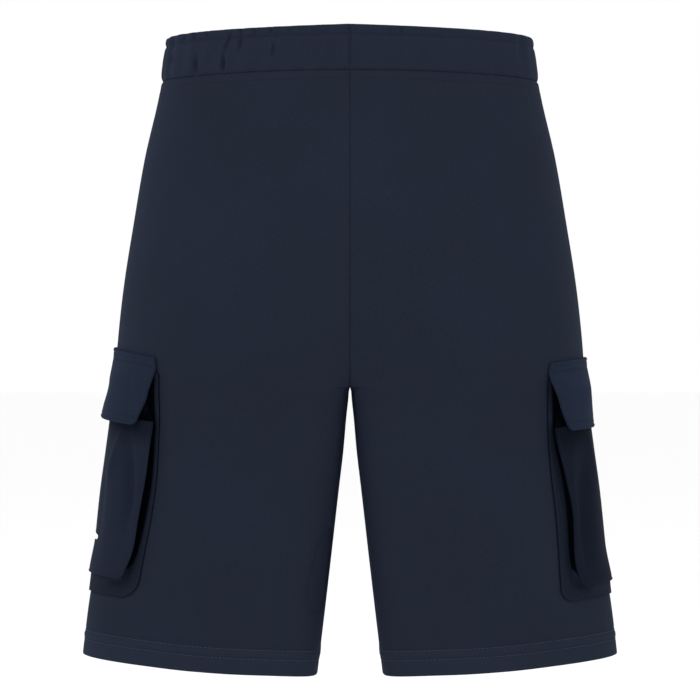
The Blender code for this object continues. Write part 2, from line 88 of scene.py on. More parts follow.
def new_material(name, values):
    """A material and its shader, with uniform values set on it."""
    material = bpy.data.materials.new(name)
    material.use_nodes = True
    shader = material.node_tree.nodes["Principled BSDF"]
    for socket, value in values.items():
        shader.inputs[socket].default_value = value
    return material, shader


floor_paint, _ = new_material("matt_floor_paint", {"Base Color": linear("#FCFCFC"), "Roughness": 0.9})
floor_mesh = bpy.data.meshes.new("studio_floor")
floor_turns = ((-1, -1), (1, -1), (1, 1), (-1, 1))
floor_corners = [(x * FLOOR_HALF, y * FLOOR_HALF, FLOOR_LEVEL) for x, y in floor_turns]
floor_mesh.from_pydata(floor_corners, [], [(0, 1, 2, 3)])
floor_mesh.materials.append(floor_paint)
floor = bpy.data.objects.new("studio_floor", floor_mesh)
bpy.context.scene.collection.objects.link(floor)

room = bpy.data.worlds.new("white_room")
room.use_nodes = True
room.node_tree.nodes["Background"].inputs["Color"].default_value = (1.0, 1.0, 1.0, 1.0)
room.node_tree.nodes["Background"].inputs["Strength"].default_value = ROOM_LIGHT
bpy.context.scene.world = room

SoftBox = namedtuple("SoftBox", "name x y z width height watts")
SOFT_BOXES = (
    SoftBox("key_box", -1.6, -2.8, 2.2, 1.3, 1.3, 74.0),
    SoftBox("left_box", -2.4, -0.6, 0.2, 0.8, 1.8, 6.0),
    SoftBox("right_box", 2.5, -1.3, 0.5, 0.8, 1.8, 21.0),
)
for box in SOFT_BOXES:
    lamp = bpy.data.lights.new(box.name, "AREA")
    lamp.shape = "RECTANGLE"
    lamp.size, lamp.size_y, lamp.energy = box.width, box.height, box.watts
    holder = bpy.data.objects.new(box.name, lamp)
    holder.location = (box.x, box.y, box.z)
    aim = Vector((-box.x, -box.y, VIEW_HEIGHT_AT - box.z))
    holder.rotation_euler = aim.to_track_quat("-Z", "Y").to_euler()
    bpy.context.scene.collection.objects.link(holder)


# ---------------------------------------------------------------------------------------
# Legs: two backs and two fronts of brushed sweatshirt jersey, overlocked together at the
# sides, the inseams and the centre. The edges turn in at each seam, and every hem is
# turned up inside and held by the two rows of a coverstitch.

CLOTH = 0.0016
HEM_WALL = 0.0030
CROTCH = -0.268
HEM_TURN_UP = 0.0207
BAND_TOP = 0.0102  # at the sides
BAND_SEAM = -0.0243  # its seam to the legs, at the sides
BACK_LIFT = 0.0050  # the band's top is higher at the centre back
SEAM_BACK_LIFT = 0.0040
FRONT_DROP = 0.0070  # and both are lower at the centre front
SEAM_LAP = 0.0001  # the two sides' cloth meets past x = 0, so that no light comes through
FORK_ABOVE = -0.19  # the columns bend towards the inseam between these two levels
FORK_BELOW = -0.33
FORK_BENDS = (0.6, 2.0)  # the least and the most that their spacing changes
FORK_KNEE = 0.85  # the share of the arc past which they close up or spread

# The outline of one leg's ring from the front and from the side. inner is where the ring
# would be innermost: left of x = 0 it is cut by the centre seam, whose dip has the fillet.
# middle is where it is deepest.
Section = namedtuple(
    "Section", "height half_width inner middle back front square inner_square fillet"
)
SECTIONS = (
    Section(0.016, 0.1448, -0.1448, 0.0000, 0.1085, 0.1150, 2.25, 2.25, 0.012),
    Section(-0.013, 0.1484, -0.1484, 0.0000, 0.1100, 0.1165, 2.25, 2.25, 0.012),
    Section(-0.038, 0.1530, -0.1530, 0.0000, 0.1150, 0.1185, 2.25, 2.25, 0.012),
    Section(-0.086, 0.1640, -0.1640, 0.0000, 0.1285, 0.1230, 2.28, 2.28, 0.012),
    Section(-0.140, 0.1732, -0.1732, 0.0000, 0.1385, 0.1250, 2.30, 2.30, 0.012),
    Section(-0.180, 0.1796, -0.1700, 0.0050, 0.1400, 0.1240, 2.30, 2.40, 0.013),
    Section(-0.206, 0.1829, -0.1180, 0.0325, 0.1370, 0.1225, 2.28, 2.65, 0.012),
    Section(-0.236, 0.1858, -0.0560, 0.0660, 0.1290, 0.1175, 2.25, 3.20, 0.009),
    Section(-0.254, 0.1870, -0.0300, 0.0830, 0.1230, 0.1135, 2.22, 4.30, 0.005),
    Section(-0.262, 0.1877, -0.0190, 0.0880, 0.1201, 0.1115, 2.21, 5.20, 0.003),
    Section(-0.266, 0.1880, -0.0110, 0.0902, 0.1187, 0.1105, 2.20, 6.40, 0.002),
    Section(-0.268, 0.1882, 0.0010, 0.0912, 0.1180, 0.1100, 2.20, 11.00, 0.001),
    Section(-0.278, 0.1889, 0.0017, 0.0945, 0.1148, 0.1073, 2.19, 9.50, 0.001),
    Section(-0.290, 0.1898, 0.0029, 0.0965, 0.1115, 0.1045, 2.18, 8.40, 0.001),
    Section(-0.318, 0.1934, 0.0053, 0.0995, 0.1050, 0.0985, 2.16, 7.20, 0.001),
    Section(-0.350, 0.1978, 0.0090, 0.1034, 0.0990, 0.0930, 2.14, 6.70, 0.001),
    Section(-0.410, 0.2042, 0.0158, 0.1100, 0.0910, 0.0850, 2.12, 6.20, 0.001),
    Section(-0.446, 0.2095, 0.0200, 0.1148, 0.0875, 0.0800, 2.10, 6.00, 0.001),
    Section(-0.506, 0.2165, 0.0272, 0.1219, 0.0835, 0.0750, 2.10, 6.00, 0.001),
)

# The hem's edge: its height at some distances from x = 0
HemPoint = namedtuple("HemPoint", "out height")
HEM_LINE = (
    HemPoint(0.027, -0.4951),
    HemPoint(0.060, -0.4936),
    HemPoint(0.090, -0.4925),
    HemPoint(0.125, -0.4900),
    HemPoint(0.160, -0.4863),
    HemPoint(0.212, -0.4810),
)

RING_STEP = 0.00075
RING_HEIGHTS = CROTCH + RING_STEP * np.arange(-331, 381)
RING_SHARES = np.linspace(0.0, 1.0, 261)
ARC_STEPS = 240


def smooth_step(value, start, end):
    """0 before start, 1 after end, and a smooth rise between them."""
    share = np.clip((value - start) / (end - start), 0.0, 1.0)
    return share * share * (3.0 - 2.0 * share)


def smooth_table(at, value, where):
    """A cubic through the values that never overshoots: harmonic-mean slopes at every point."""
    at, value = np.asarray(at, float), np.asarray(value, float)
    rise = np.diff(value) / np.diff(at)
    before, after = rise[:-1], rise[1:]
    same_way = before * after > 0
    total = np.where(same_way, before + after, 1.0)
    slope = np.where(same_way, 2.0 * before * after / total, 0.0)
    slope = np.concatenate([rise[:1], slope, rise[-1:]])
    where = np.clip(where, at[0], at[-1])
    low = np.clip(np.searchsorted(at, where) - 1, 0, len(at) - 2)
    span = at[low + 1] - at[low]
    t = (where - at[low]) / span
    return (
        value[low] * (1 + 2 * t) * (1 - t) ** 2
        + slope[low] * span * t * (1 - t) ** 2
        + value[low + 1] * t * t * (3 - 2 * t)
        + slope[low + 1] * span * t * t * (t - 1)
    )


def column_at(rows, key, name, where):
    """One column of a table's rows, read by another that only rises, at any of its values."""
    return smooth_table([getattr(row, key) for row in rows], [getattr(row, name) for row in rows], where)


def section_column(name, height):
    """One column of the sections at any height."""
    return column_at(SECTIONS[::-1], "height", name, height)


def ring_at(table, reach, rows, around):
    """A table's values on its rows at an arc, between the two columns beside it."""
    column = np.clip(around / reach[rows] * (len(RING_SHARES) - 1), 0, len(RING_SHARES) - 1.001)
    low = column.astype(int)
    share = (column - low)[..., None]
    return table[rows, low] * (1 - share) + table[rows, low + 1] * share


def ring_table(towards):
    """Half a leg's rings at every ring height: places, outward normals and the whole arcs.

    A ring is a superellipse from the side seam to the centre seam or inseam, cut where it
    would pass x = 0. towards is -1 for the back and 1 for the front. The columns are at
    even shares of the arc.
    """
    fillet = section_column("fillet", RING_HEIGHTS)
    outer = np.hypot(section_column("half_width", RING_HEIGHTS), fillet)
    middle = section_column("middle", RING_HEIGHTS)
    inner_radius = middle - section_column("inner", RING_HEIGHTS)
    outer_power = 2.0 / section_column("square", RING_HEIGHTS)
    inner_power = 2.0 / section_column("inner_square", RING_HEIGHTS)
    depth = section_column("back" if towards < 0 else "front", RING_HEIGHTS)
    past = fillet - middle
    cut = np.clip(past / np.where(past < 0, inner_radius, outer - middle), -1.0, 1.0)
    cut_power = np.where(cut < 0, inner_power, outer_power)
    last = np.arccos(np.sign(cut) * np.abs(cut) ** (1.0 / cut_power))
    angle = last[:, None] * np.linspace(0.0, 1.0, ARC_STEPS + 1)
    power = np.where(np.cos(angle) < 0, inner_power[:, None], outer_power[:, None])
    radius = np.where(np.cos(angle) < 0, -inner_radius[:, None], (outer - middle)[:, None])
    across = middle[:, None] + radius * np.abs(np.cos(angle)) ** power
    x = np.sqrt(np.maximum(across**2 - fillet[:, None] ** 2, 0.0))
    y = towards * depth[:, None] * np.abs(np.sin(angle)) ** power
    steps = np.hypot(np.diff(x), np.diff(y))
    arc = np.concatenate([np.zeros_like(x[:, :1]), np.cumsum(steps, axis=1)], axis=1)

    wanted = arc[:, -1:] * RING_SHARES
    low = np.clip((arc[:, None, :] < wanted[:, :, None]).sum(axis=-1) - 1, 0, ARC_STEPS - 1)
    start, end = np.take_along_axis(arc, low, 1), np.take_along_axis(arc, low + 1, 1)
    part = (wanted - start) / np.maximum(end - start, 1e-9)
    ring = np.stack([x, y, np.broadcast_to(RING_HEIGHTS[:, None], x.shape)], axis=-1)
    start, end = [np.take_along_axis(ring, at[..., None], 1) for at in (low, low + 1)]
    place = start * (1 - part[..., None]) + end * part[..., None]
    rows = np.arange(len(RING_HEIGHTS))[:, None]
    above = ring_at(place, arc[:, -1], np.minimum(rows + 1, len(rows) - 1), wanted)
    below = ring_at(place, arc[:, -1], np.maximum(rows - 1, 0), wanted)
    normal = np.cross(towards * np.gradient(place, axis=1), above - below)
    normal /= np.linalg.norm(normal, axis=-1, keepdims=True)
    return place, normal, arc[:, -1]


# Both halves of the rings in one table, the front's rows after the back's
BACK_RINGS, FRONT_RINGS = ring_table(-1), ring_table(1)
RING_PLACES, RING_NORMALS, RING_REACHES = [np.concatenate(pair) for pair in zip(BACK_RINGS, FRONT_RINGS)]


def reach_at(towards, height):
    """The arc from the side seam to the centre seam or inseam."""
    back = np.interp(height, RING_HEIGHTS, BACK_RINGS[2])
    front = np.interp(height, RING_HEIGHTS, FRONT_RINGS[2])
    return np.where(np.asarray(towards) < 0, back, front)


def on_cloth(side, around, height, out=0.0):
    """A point at an arc from the side seam, back negative, and a height, moved out by out.

    It is read from the table of rings between four of its points.
    """
    around, height, out = np.broadcast_arrays(*[np.asarray(v, float) for v in (around, height, out)])
    row = np.clip((height - RING_HEIGHTS[0]) / RING_STEP, 0, len(RING_HEIGHTS) - 1.001)
    t = (row - row.astype(int))[..., None]
    low_row = row.astype(int) + len(RING_HEIGHTS) * (around >= 0)

    def between(table):
        lower = ring_at(table, RING_REACHES, low_row, np.abs(around))
        return lower * (1 - t) + ring_at(table, RING_REACHES, low_row + 1, np.abs(around)) * t

    normal = between(RING_NORMALS)
    point = between(RING_PLACES) + out[..., None] * normal / np.linalg.norm(normal, axis=-1, keepdims=True)
    point[..., 0] *= side
    return point


def place_across(share, towards, height):
    """The arc from the side seam for a share of a panel's width.

    The columns run straight down the cloth, and only those near the seam close up or spread
    with the curve of the fork: as a power of the share past the knee.
    """
    reach = reach_at(towards, height)
    level = smooth_step(-height, -FORK_ABOVE, -FORK_BELOW)
    even = reach_at(towards, FORK_ABOVE) * (1 - level) + reach_at(towards, FORK_BELOW) * level
    even = np.where((height < FORK_ABOVE) & (height > FORK_BELOW), even, reach)
    share = np.abs(share)
    knee = FORK_KNEE * np.minimum(even, reach)
    past = np.clip((even * share - knee) / (even - knee), 0.0, 1.0)
    bend = np.clip((even - knee) / (reach - knee), *FORK_BENDS)
    around = np.where(past > 0, knee + (reach - knee) * (1 - (1 - past) ** bend), even * share)
    return np.minimum(around, reach) * towards


def band_top(share):
    """The waistband's top edge: lifted at the back and lowered at the front."""
    return BAND_TOP + np.where(share < 0, BACK_LIFT, -FRONT_DROP) * np.abs(share) ** 1.3


def band_seam(share):
    """The seam below the waistband."""
    end = np.where(share < 0, SEAM_BACK_LIFT, -FRONT_DROP)
    return BAND_SEAM + end * smooth_step(np.abs(share), 0.0, 1.0)


def hem_height(x):
    """The hem's edge climbs outwards, square to the leg, which leans."""
    return column_at(HEM_LINE, "out", "height", np.abs(x))


def leg_level(side, towards, share, down):
    """Heights on a leg.

    down is 0 at the band, 1 at the crotch, 2 at the turn-up's edge and 3 at the hem.
    """
    seam = band_seam(share)
    level = seam + (CROTCH - seam) * np.minimum(down, 1.0)
    for _ in range(3):
        x = on_cloth(side, place_across(share, towards, level), level)[..., 0]
        turn_up = hem_height(x) + HEM_TURN_UP
        leg = CROTCH + (turn_up - CROTCH) * np.minimum(down - 1.0, 1.0)
        leg = leg - HEM_TURN_UP * np.maximum(down - 2.0, 0.0)
        level = np.where(down > 1.0, leg, level)
    return level


def crowded(count, start, end, fade=0.02):
    """count + 1 shares from 0 to 1, start and end times as close near those ends as elsewhere."""
    fine = np.linspace(0.0, 1.0, 4001)
    density = 1 + start * np.exp(-fine / fade) + end * np.exp((fine - 1) / fade)
    total = np.concatenate([[0.0], np.cumsum((density[1:] + density[:-1]) / 2)])
    return np.interp(np.linspace(0.0, total[-1], count + 1), total, fine)


def bell(value, width):
    """A smooth hump: 1 at 0 and hardly anything past twice the width."""
    return np.exp(-((value / width) ** 2))


def dented(distance, *dents):
    """The sum of bells at some distances from an edge."""
    return sum(dent.depth * bell(distance - dent.at, dent.width) for dent in dents)


# Soft troughs and ridges pressed into a piece: at is across it, start and end are along it.
Fold = namedtuple("Fold", "at start end slant width depth")


def folded(folds, across, along):
    """The sum of soft troughs (depth below 0) and ridges: a bell across, faded at both ends."""
    total = np.zeros(np.broadcast(across, along).shape)
    for fold in folds:
        middle = (fold.start + fold.end) / 2
        line = fold.at + fold.slant * (along - middle)
        fading = (fold.end - fold.start) * 0.4
        shown = smooth_step(along, fold.start, fold.start + fading)
        shown = shown * (1 - smooth_step(along, fold.end - fading, fold.end))
        total += fold.depth * shown * bell(across - line, fold.width)
    return total


def into_seam(distance, width=0.0022, depth=0.0010):
    """How far cloth turns in towards a seam, by its distance from it: a parabola."""
    return -depth * np.clip(1 - distance / width, 0.0, 1.0) ** 2


def round_edge(distance, wall):
    """How far a folded edge rounds in: a quarter circle of half the wall."""
    half = wall / 2
    inside = np.clip(half - distance, 0.0, half)
    return half - np.sqrt(half**2 - inside**2)


def cloth_object(name, points, faces, across, along, material):
    """A smooth mesh with faces outwards. Its UV map is along the cloth, in metres."""
    points = np.asarray(points, float).reshape(-1, 3)
    faces = np.asarray(faces)
    corners = points[faces]
    swept = np.cross(corners[:, 2] - corners[:, 0], corners[:, 3] - corners[:, 1])
    if (swept * corners.mean(axis=1)).sum() < 0:
        faces = faces[:, ::-1]
    mesh = bpy.data.meshes.new(name)
    mesh.from_pydata(points.tolist(), [], faces.tolist())
    uv = np.stack([np.asarray(across, float).ravel(), np.asarray(along, float).ravel()], axis=-1)
    layer = mesh.uv_layers.new(name="cloth")
    layer.data.foreach_set("uv", uv[faces.ravel()].ravel().astype(np.float32))
    mesh.shade_smooth()
    mesh.set_sharp_from_angle(angle=np.radians(65))
    mesh.materials.append(material)
    thing = bpy.data.objects.new(name, mesh)
    bpy.context.scene.collection.objects.link(thing)
    return thing


def shell(name, outer, inner, across, along, material):
    """A closed thin shell between two grids of points, joined all round its border."""
    rows, columns = outer.shape[:2]
    index = np.arange(rows * columns).reshape(rows, columns)
    front = np.stack([index[:-1, :-1], index[:-1, 1:], index[1:, 1:], index[1:, :-1]], axis=-1)
    front = front.reshape(-1, 4)
    back = front[:, ::-1] + index.size
    border = np.concatenate([index[0, :-1], index[:-1, -1], index[-1, :0:-1], index[:0:-1, 0]])
    after = np.roll(border, -1)
    rim = np.stack([after, border, border + index.size, after + index.size], axis=-1)
    across, along = [np.broadcast_to(v, outer.shape[:2]) for v in (across, along)]
    return cloth_object(
        name,
        np.stack([outer, inner]),
        np.concatenate([front, back, rim]),
        np.stack([across, across]),
        np.stack([along, along]),
        material,
    )


Stitch = namedtuple("Stitch", "pitch length width height")
LOCK_STITCH = Stitch(0.0032, 0.0025, 0.0005, 0.0005)


def stitching(name, runs, material, stitch=LOCK_STITCH):
    """Stitches along runs of points on the cloth, each a small rounded bar, as one mesh.

    A run is its points and the outward normals there. A bar has five-sided rings at four
    places along its length, narrower at its ends.
    """
    stations = np.array([-0.5, -0.3, 0.3, 0.5])
    girth = np.array([0.35, 1.0, 1.0, 0.35])
    turn = np.radians(90 + 72 * np.arange(5))
    blocks = []
    for points, normals in runs:
        arc = np.concatenate([[0.0], np.cumsum(np.linalg.norm(np.diff(points, axis=0), axis=1))])
        count = max(int(arc[-1] / stitch.pitch), 1)
        middle = (np.arange(count) + 0.5) * arc[-1] / count
        at = middle[:, None] + stations * stitch.length
        line = np.stack([np.interp(at, arc, points[:, axis]) for axis in range(3)], axis=-1)
        up = np.stack([np.interp(middle, arc, normals[:, axis]) for axis in range(3)], axis=-1)
        forward = line[:, -1] - line[:, 0]
        forward /= np.linalg.norm(forward, axis=-1, keepdims=True)
        beside = np.cross(forward, up)
        beside /= np.linalg.norm(beside, axis=-1, keepdims=True)
        up = np.cross(beside, forward)
        ring = girth[:, None] * np.cos(turn) * stitch.width / 2
        rise = girth[:, None] * np.sin(turn) * stitch.height / 2
        girdle = ring[None, ..., None] * beside[:, None, None] + rise[None, ..., None] * up[:, None, None]
        blocks.append(line[:, :, None] + girdle)
    points = np.concatenate(blocks)
    first = np.arange(len(points))[:, None] * 20
    here, after = np.arange(5), (np.arange(5) + 1) % 5
    wall = np.stack([here, after, 5 + after, 5 + here], axis=-1)
    walls = np.concatenate([wall, wall + 5, wall + 10])
    quads = (first[..., None] + walls[None]).reshape(-1, 4)
    ends = np.array([[4, 3, 2, 1], [16, 17, 18, 19]])
    tips = np.array([[4, 1, 0], [15, 16, 19]])
    mesh = bpy.data.meshes.new(name)
    faces = quads.tolist() + (first[..., None] + ends[None]).reshape(-1, 4).tolist()
    faces += (first[..., None] + tips[None]).reshape(-1, 3).tolist()
    mesh.from_pydata(points.reshape(-1, 3).tolist(), [], faces)
    mesh.shade_smooth()
    mesh.materials.append(material)
    thing = bpy.data.objects.new(name, mesh)
    bpy.context.scene.collection.objects.link(thing)
    return thing


def sewing_line(side, around, height, out):
    """A run for stitching: the points on the cloth and the outward normals there."""
    points = on_cloth(side, around, height, out)
    above = on_cloth(side, around, height, out + 0.001)
    return points, (above - points) / 0.001


def noise(material, place, scale, detail):
    """Noise over the cloth's Object coordinates."""
    settings = {"Scale": scale, "Detail": detail}
    return add(material, "ShaderNodeTexNoise", settings, [("Vector", place, "Object")])


def bump(material, strength, distance, relief, below=()):
    """The normals of a fine relief, over those of the bump below it."""
    settings = {"Strength": strength, "Distance": distance}
    return add(material, "ShaderNodeBump", settings, [("Height", relief, "Fac"), *below])


def jersey(name, colour, shade, sheen, tones=None):
    """Brushed sweatshirt jersey: fine wales along the cloth, a short fuzz and a soft matt sheen.

    The wales are 0.8 mm apart in the real cloth and drawn 1.7 mm apart, so that they show.
    tones paints shade or light into the cloth's colour and its specular tint: two distances along
    its UV, and how bright the cloth is drawn up to the one and past the other.
    """
    values = {
        "Roughness": 0.92,
        "IOR": 1.5,
        "Specular IOR Level": 0.03,
        "Sheen Weight": sheen,
        "Sheen Roughness": 0.5,
        "Sheen Tint": linear("#6C82B8"),
    }
    material, shader = new_material(name, values)
    place = add(material, "ShaderNodeTexCoord", {})
    link = material.node_tree.links.new
    dye = noise(material, place, 14.0, 3.0)
    fibre = noise(material, place, 900.0, 2.0)
    wale = add(
        material,
        "ShaderNodeTexWave",
        {"wave_type": "BANDS", "bands_direction": "X", "Scale": 185.0, "Distortion": 0.6, "Detail": 1.0},
        [("Vector", place, "UV")],
    )
    sources = [(0, dye, "Fac"), (2, fibre, "Fac")]
    blend = add(material, "ShaderNodeMath", {"operation": "MULTIPLY_ADD", 1: 0.55}, sources)
    spread = {"From Min": 0.45, "From Max": 1.10}
    tone = add(material, "ShaderNodeMapRange", spread, [("Value", blend, "Value")])
    dyes = {"data_type": "RGBA", 6: linear(shade), 7: linear(colour)}
    cloth = add(material, "ShaderNodeMix", dyes, [("Factor", tone, "Result")])
    if tones is not None:
        strip = add(material, "ShaderNodeSeparateXYZ", {}, [("Vector", place, "UV")])
        limits = dict(zip(("From Min", "From Max", "To Min", "To Max"), tones))
        light = add(material, "ShaderNodeMapRange", limits, [("Value", strip, "Y")])
        dimmed = {"data_type": "RGBA", "blend_type": "MULTIPLY", "Factor": 1.0}
        cloth = add(material, "ShaderNodeMix", dimmed, [(6, cloth, 2), (7, light, "Result")])
        link(light.outputs["Result"], shader.inputs["Specular Tint"])
    ribs = bump(material, 0.10, 0.0004, wale)
    fuzz = bump(material, 0.22, 0.0004, fibre, [("Normal", ribs, "Normal")])
    link(cloth.outputs[2], shader.inputs["Base Color"])
    link(fuzz.outputs["Normal"], shader.inputs["Normal"])
    return material


def thread(name, colour):
    """Spun polyester sewing thread: a little glossier than the jersey, in its own colour."""
    values = {"Base Color": linear(colour), "Roughness": 0.75, "IOR": 1.5, "Specular IOR Level": 0.15}
    material, shader = new_material(name, values)
    place = add(material, "ShaderNodeTexCoord", {})
    twist = bump(material, 0.3, 0.0002, noise(material, place, 2200.0, 1.0))
    material.node_tree.links.new(twist.outputs["Normal"], shader.inputs["Normal"])
    return material


def dress(node, slot, cloth, *sewing):
    """Put a cloth and its rows of stitches in the place of a CAD node."""
    for piece in (cloth, *sewing):
        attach(piece, "root")
    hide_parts(node)


PAINTED_HEM_LIGHT = (0.0196, 0.0206, 1.15, 1.0)  # painted light: the hem's turned-up band is drawn 15% lighter than the leg above
BODY_JERSEY = jersey("brushed_navy_jersey", "#1B202C", "#171B25", 0.04, PAINTED_HEM_LIGHT)
NAVY_THREAD = thread("navy_polyester_thread", "#11151F")
HEM_THREAD = thread("pale_navy_polyester_thread", "#30374A")

LEG_LENGTH = 0.206  # from the crotch to the turn-up's edge
TURN_UP_STEP = 0.0008  # where the wall thickens to two layers
THREAD_SINKS = 0.0002  # into the cloth
HEM_THREAD_SINKS = 0.00005
HEM_STITCH = LOCK_STITCH._replace(height=0.0006)
COVERSTITCH_ROWS = (0.0127, 0.0200)  # above the hem's edge
BAND_TOPSTITCH = 0.0070  # below the waistband's seam

# Dents under stitches, and a soft ridge and fine puckers between the hem's two rows: how far the
# face moves out at a distance from a seam or from the hem's edge
Dent = namedtuple("Dent", "at width depth")
HEM_DENTS = tuple(Dent(row, 0.0010, -0.00045) for row in COVERSTITCH_ROWS)
HEM_RIDGE = Dent(0.0163, 0.0022, 0.00050)
HEM_PUCKER = Dent(0.0165, 0.0060, 0.00007)
PUCKER_EVERY = 0.0011  # their spacing over 2 pi
PUCKER_DRIFT = 0.013  # the length over which the spacing wanders, over 2 pi
BAND_DENT = Dent(BAND_TOPSTITCH, 0.0012, -0.00025)
BAND_TURN_IN = 0.0013
BAND_TURN_WIDTH = 0.0030
RELIEF_LENGTH = 0.2  # of a leg above its turn-up, near enough to place the dents

LEG_COLUMNS = crowded(120, 6, 6)
SEAT_ROWS = crowded(104, 5, 12)
LEG_ROWS = 1 + np.linspace(0.0, 1.0, 79)[1:]
HEM_ROWS = 2 + crowded(26, 0, 3, 0.1)[1:]

# Soft folds on the legs: at is the arc from the inseam or centre seam, the rest are heights.
INNER_FOLDS = {
    "back_left": (
        Fold(0.012, -0.500, -0.435, -0.10, 0.0050, -0.0007),
        Fold(0.072, -0.450, -0.372, 0.00, 0.0100, -0.0150),
    ),
    "back_right": (Fold(0.014, -0.470, -0.400, 0.08, 0.0060, -0.0004),),
    "front_left": (Fold(0.016, -0.470, -0.390, 0.10, 0.0060, -0.0005),),
    "front_right": (Fold(0.013, -0.485, -0.400, -0.08, 0.0055, -0.0006),),
}


def leg_relief(name, side, towards, share, around, height, down):
    """How far a leg's face stands off its ring: in at its seams, dented by the hem's stitches."""
    reach = reach_at(towards, height)
    to_centre = reach - np.abs(around)
    from_band = band_seam(share) - height
    above_hem = HEM_TURN_UP * np.clip(3.0 - down, 0.0, 1.0)
    above_hem = above_hem + RELIEF_LENGTH * np.clip(2.0 - down, 0.0, 1.0)
    out = into_seam(to_centre) + into_seam(np.abs(around))
    out = out + into_seam(from_band, BAND_TURN_WIDTH, BAND_TURN_IN) + dented(from_band, BAND_DENT)
    pucker = np.sin(around / PUCKER_EVERY + 3 * np.sin(around / PUCKER_DRIFT))
    out = out + dented(above_hem, *HEM_DENTS, HEM_RIDGE) + pucker * dented(above_hem, HEM_PUCKER)
    out = out + folded(INNER_FOLDS[name], to_centre, height)
    return out - round_edge(above_hem, HEM_WALL)


def leg_cloth(hand, side, towards):
    """One leg panel as a thin shell, its second layer inside at the hem, with its stitching."""
    name = ("back_" if towards < 0 else "front_") + hand
    down = np.concatenate([SEAT_ROWS, LEG_ROWS, HEM_ROWS])[:, None]
    share = towards * LEG_COLUMNS[None]
    height = leg_level(side, towards, share, down)
    around = place_across(share, towards, height)
    outer = on_cloth(side, around, height, leg_relief(name, side, towards, share, around, height, down))
    wall = CLOTH + (HEM_WALL - CLOTH) * smooth_step(down, 2.0, 2.0 + TURN_UP_STEP / HEM_TURN_UP)
    hem_inside = round_edge(HEM_TURN_UP * (3.0 - down), HEM_WALL)
    inner = on_cloth(side, around, height, -wall + hem_inside * (down > 2.0))
    for sheet in (outer, inner):
        sheet[..., 0] = side * np.maximum(side * sheet[..., 0], -SEAM_LAP)
        sheet[: len(SEAT_ROWS), -1, 0] = -side * SEAM_LAP
    above_hem = HEM_TURN_UP * np.minimum(3.0 - down, 1.0) + LEG_LENGTH * np.maximum(2.0 - down, 0.0)
    cloth = shell(name + "_cloth", outer, inner, around, above_hem, BODY_JERSEY)

    along = towards * np.linspace(0.004, 0.996, 260)
    runs = []
    for row in COVERSTITCH_ROWS:
        level = leg_level(side, towards, along, np.full(along.shape, 3.0 - row / HEM_TURN_UP))
        runs.append(sewing_line(side, place_across(along, towards, level), level, -HEM_THREAD_SINKS))
    hem_sewing = stitching(name + "_hem_stitching", runs, HEM_THREAD, HEM_STITCH)
    level = band_seam(along) - BAND_TOPSTITCH
    run = sewing_line(side, place_across(along, towards, level), level, -THREAD_SINKS)
    sewing = stitching(name + "_stitching", [run], NAVY_THREAD)
    dress(name, "body_jersey", cloth, hem_sewing, sewing)

    heights = np.linspace(hem_height(0.09), BAND_SEAM, 60)


for hand, side in (("left", -1), ("right", 1)):
    leg_cloth(hand, side, -1)
    leg_cloth(hand, side, 1)


# ---------------------------------------------------------------------------------------
# Waistband: a strip of the same jersey folded over wide elastic and sewn to the legs. The
# elastic draws it into uneven gathers, and one row of stitches makes a narrow tunnel
# under its top edge. Its ends meet at the centre back.

# The strip's section, from its seam up over the fold and down inside. gathered is the share
# of the gathers' depth that it takes.
BandPoint = namedtuple("BandPoint", "level out gathered")
BAND_SECTION = (
    BandPoint(0.00, -0.0010, 0.3),
    BandPoint(0.03, -0.0003, 0.5),
    BandPoint(0.08, 0.0004, 0.8),
    BandPoint(0.25, 0.0011, 1.0),
    BandPoint(0.50, 0.0012, 1.0),
    BandPoint(0.70, 0.0008, 0.9),
    BandPoint(0.76, 0.0003, 0.6),
    BandPoint(0.785, 0.0000, 0.5),
    BandPoint(0.81, 0.0003, 0.7),
    BandPoint(0.88, 0.0008, 1.0),
    BandPoint(0.95, 0.0006, 1.0),
    BandPoint(0.985, -0.0001, 0.8),
    BandPoint(1.00, -0.0012, 0.5),
    BandPoint(0.985, -0.0024, 0.2),
    BandPoint(0.93, -0.0029, 0.0),
    BandPoint(0.50, -0.0031, 0.0),
    BandPoint(0.00, -0.0032, 0.0),
)
BAND_TURNS = 2150
BAND_POINTS = 44
BAND_HEIGHT = BAND_TOP - BAND_SEAM
TUNNEL_STITCH = 0.785
GATHERS = 44
GATHER_DEPTH = 0.00080

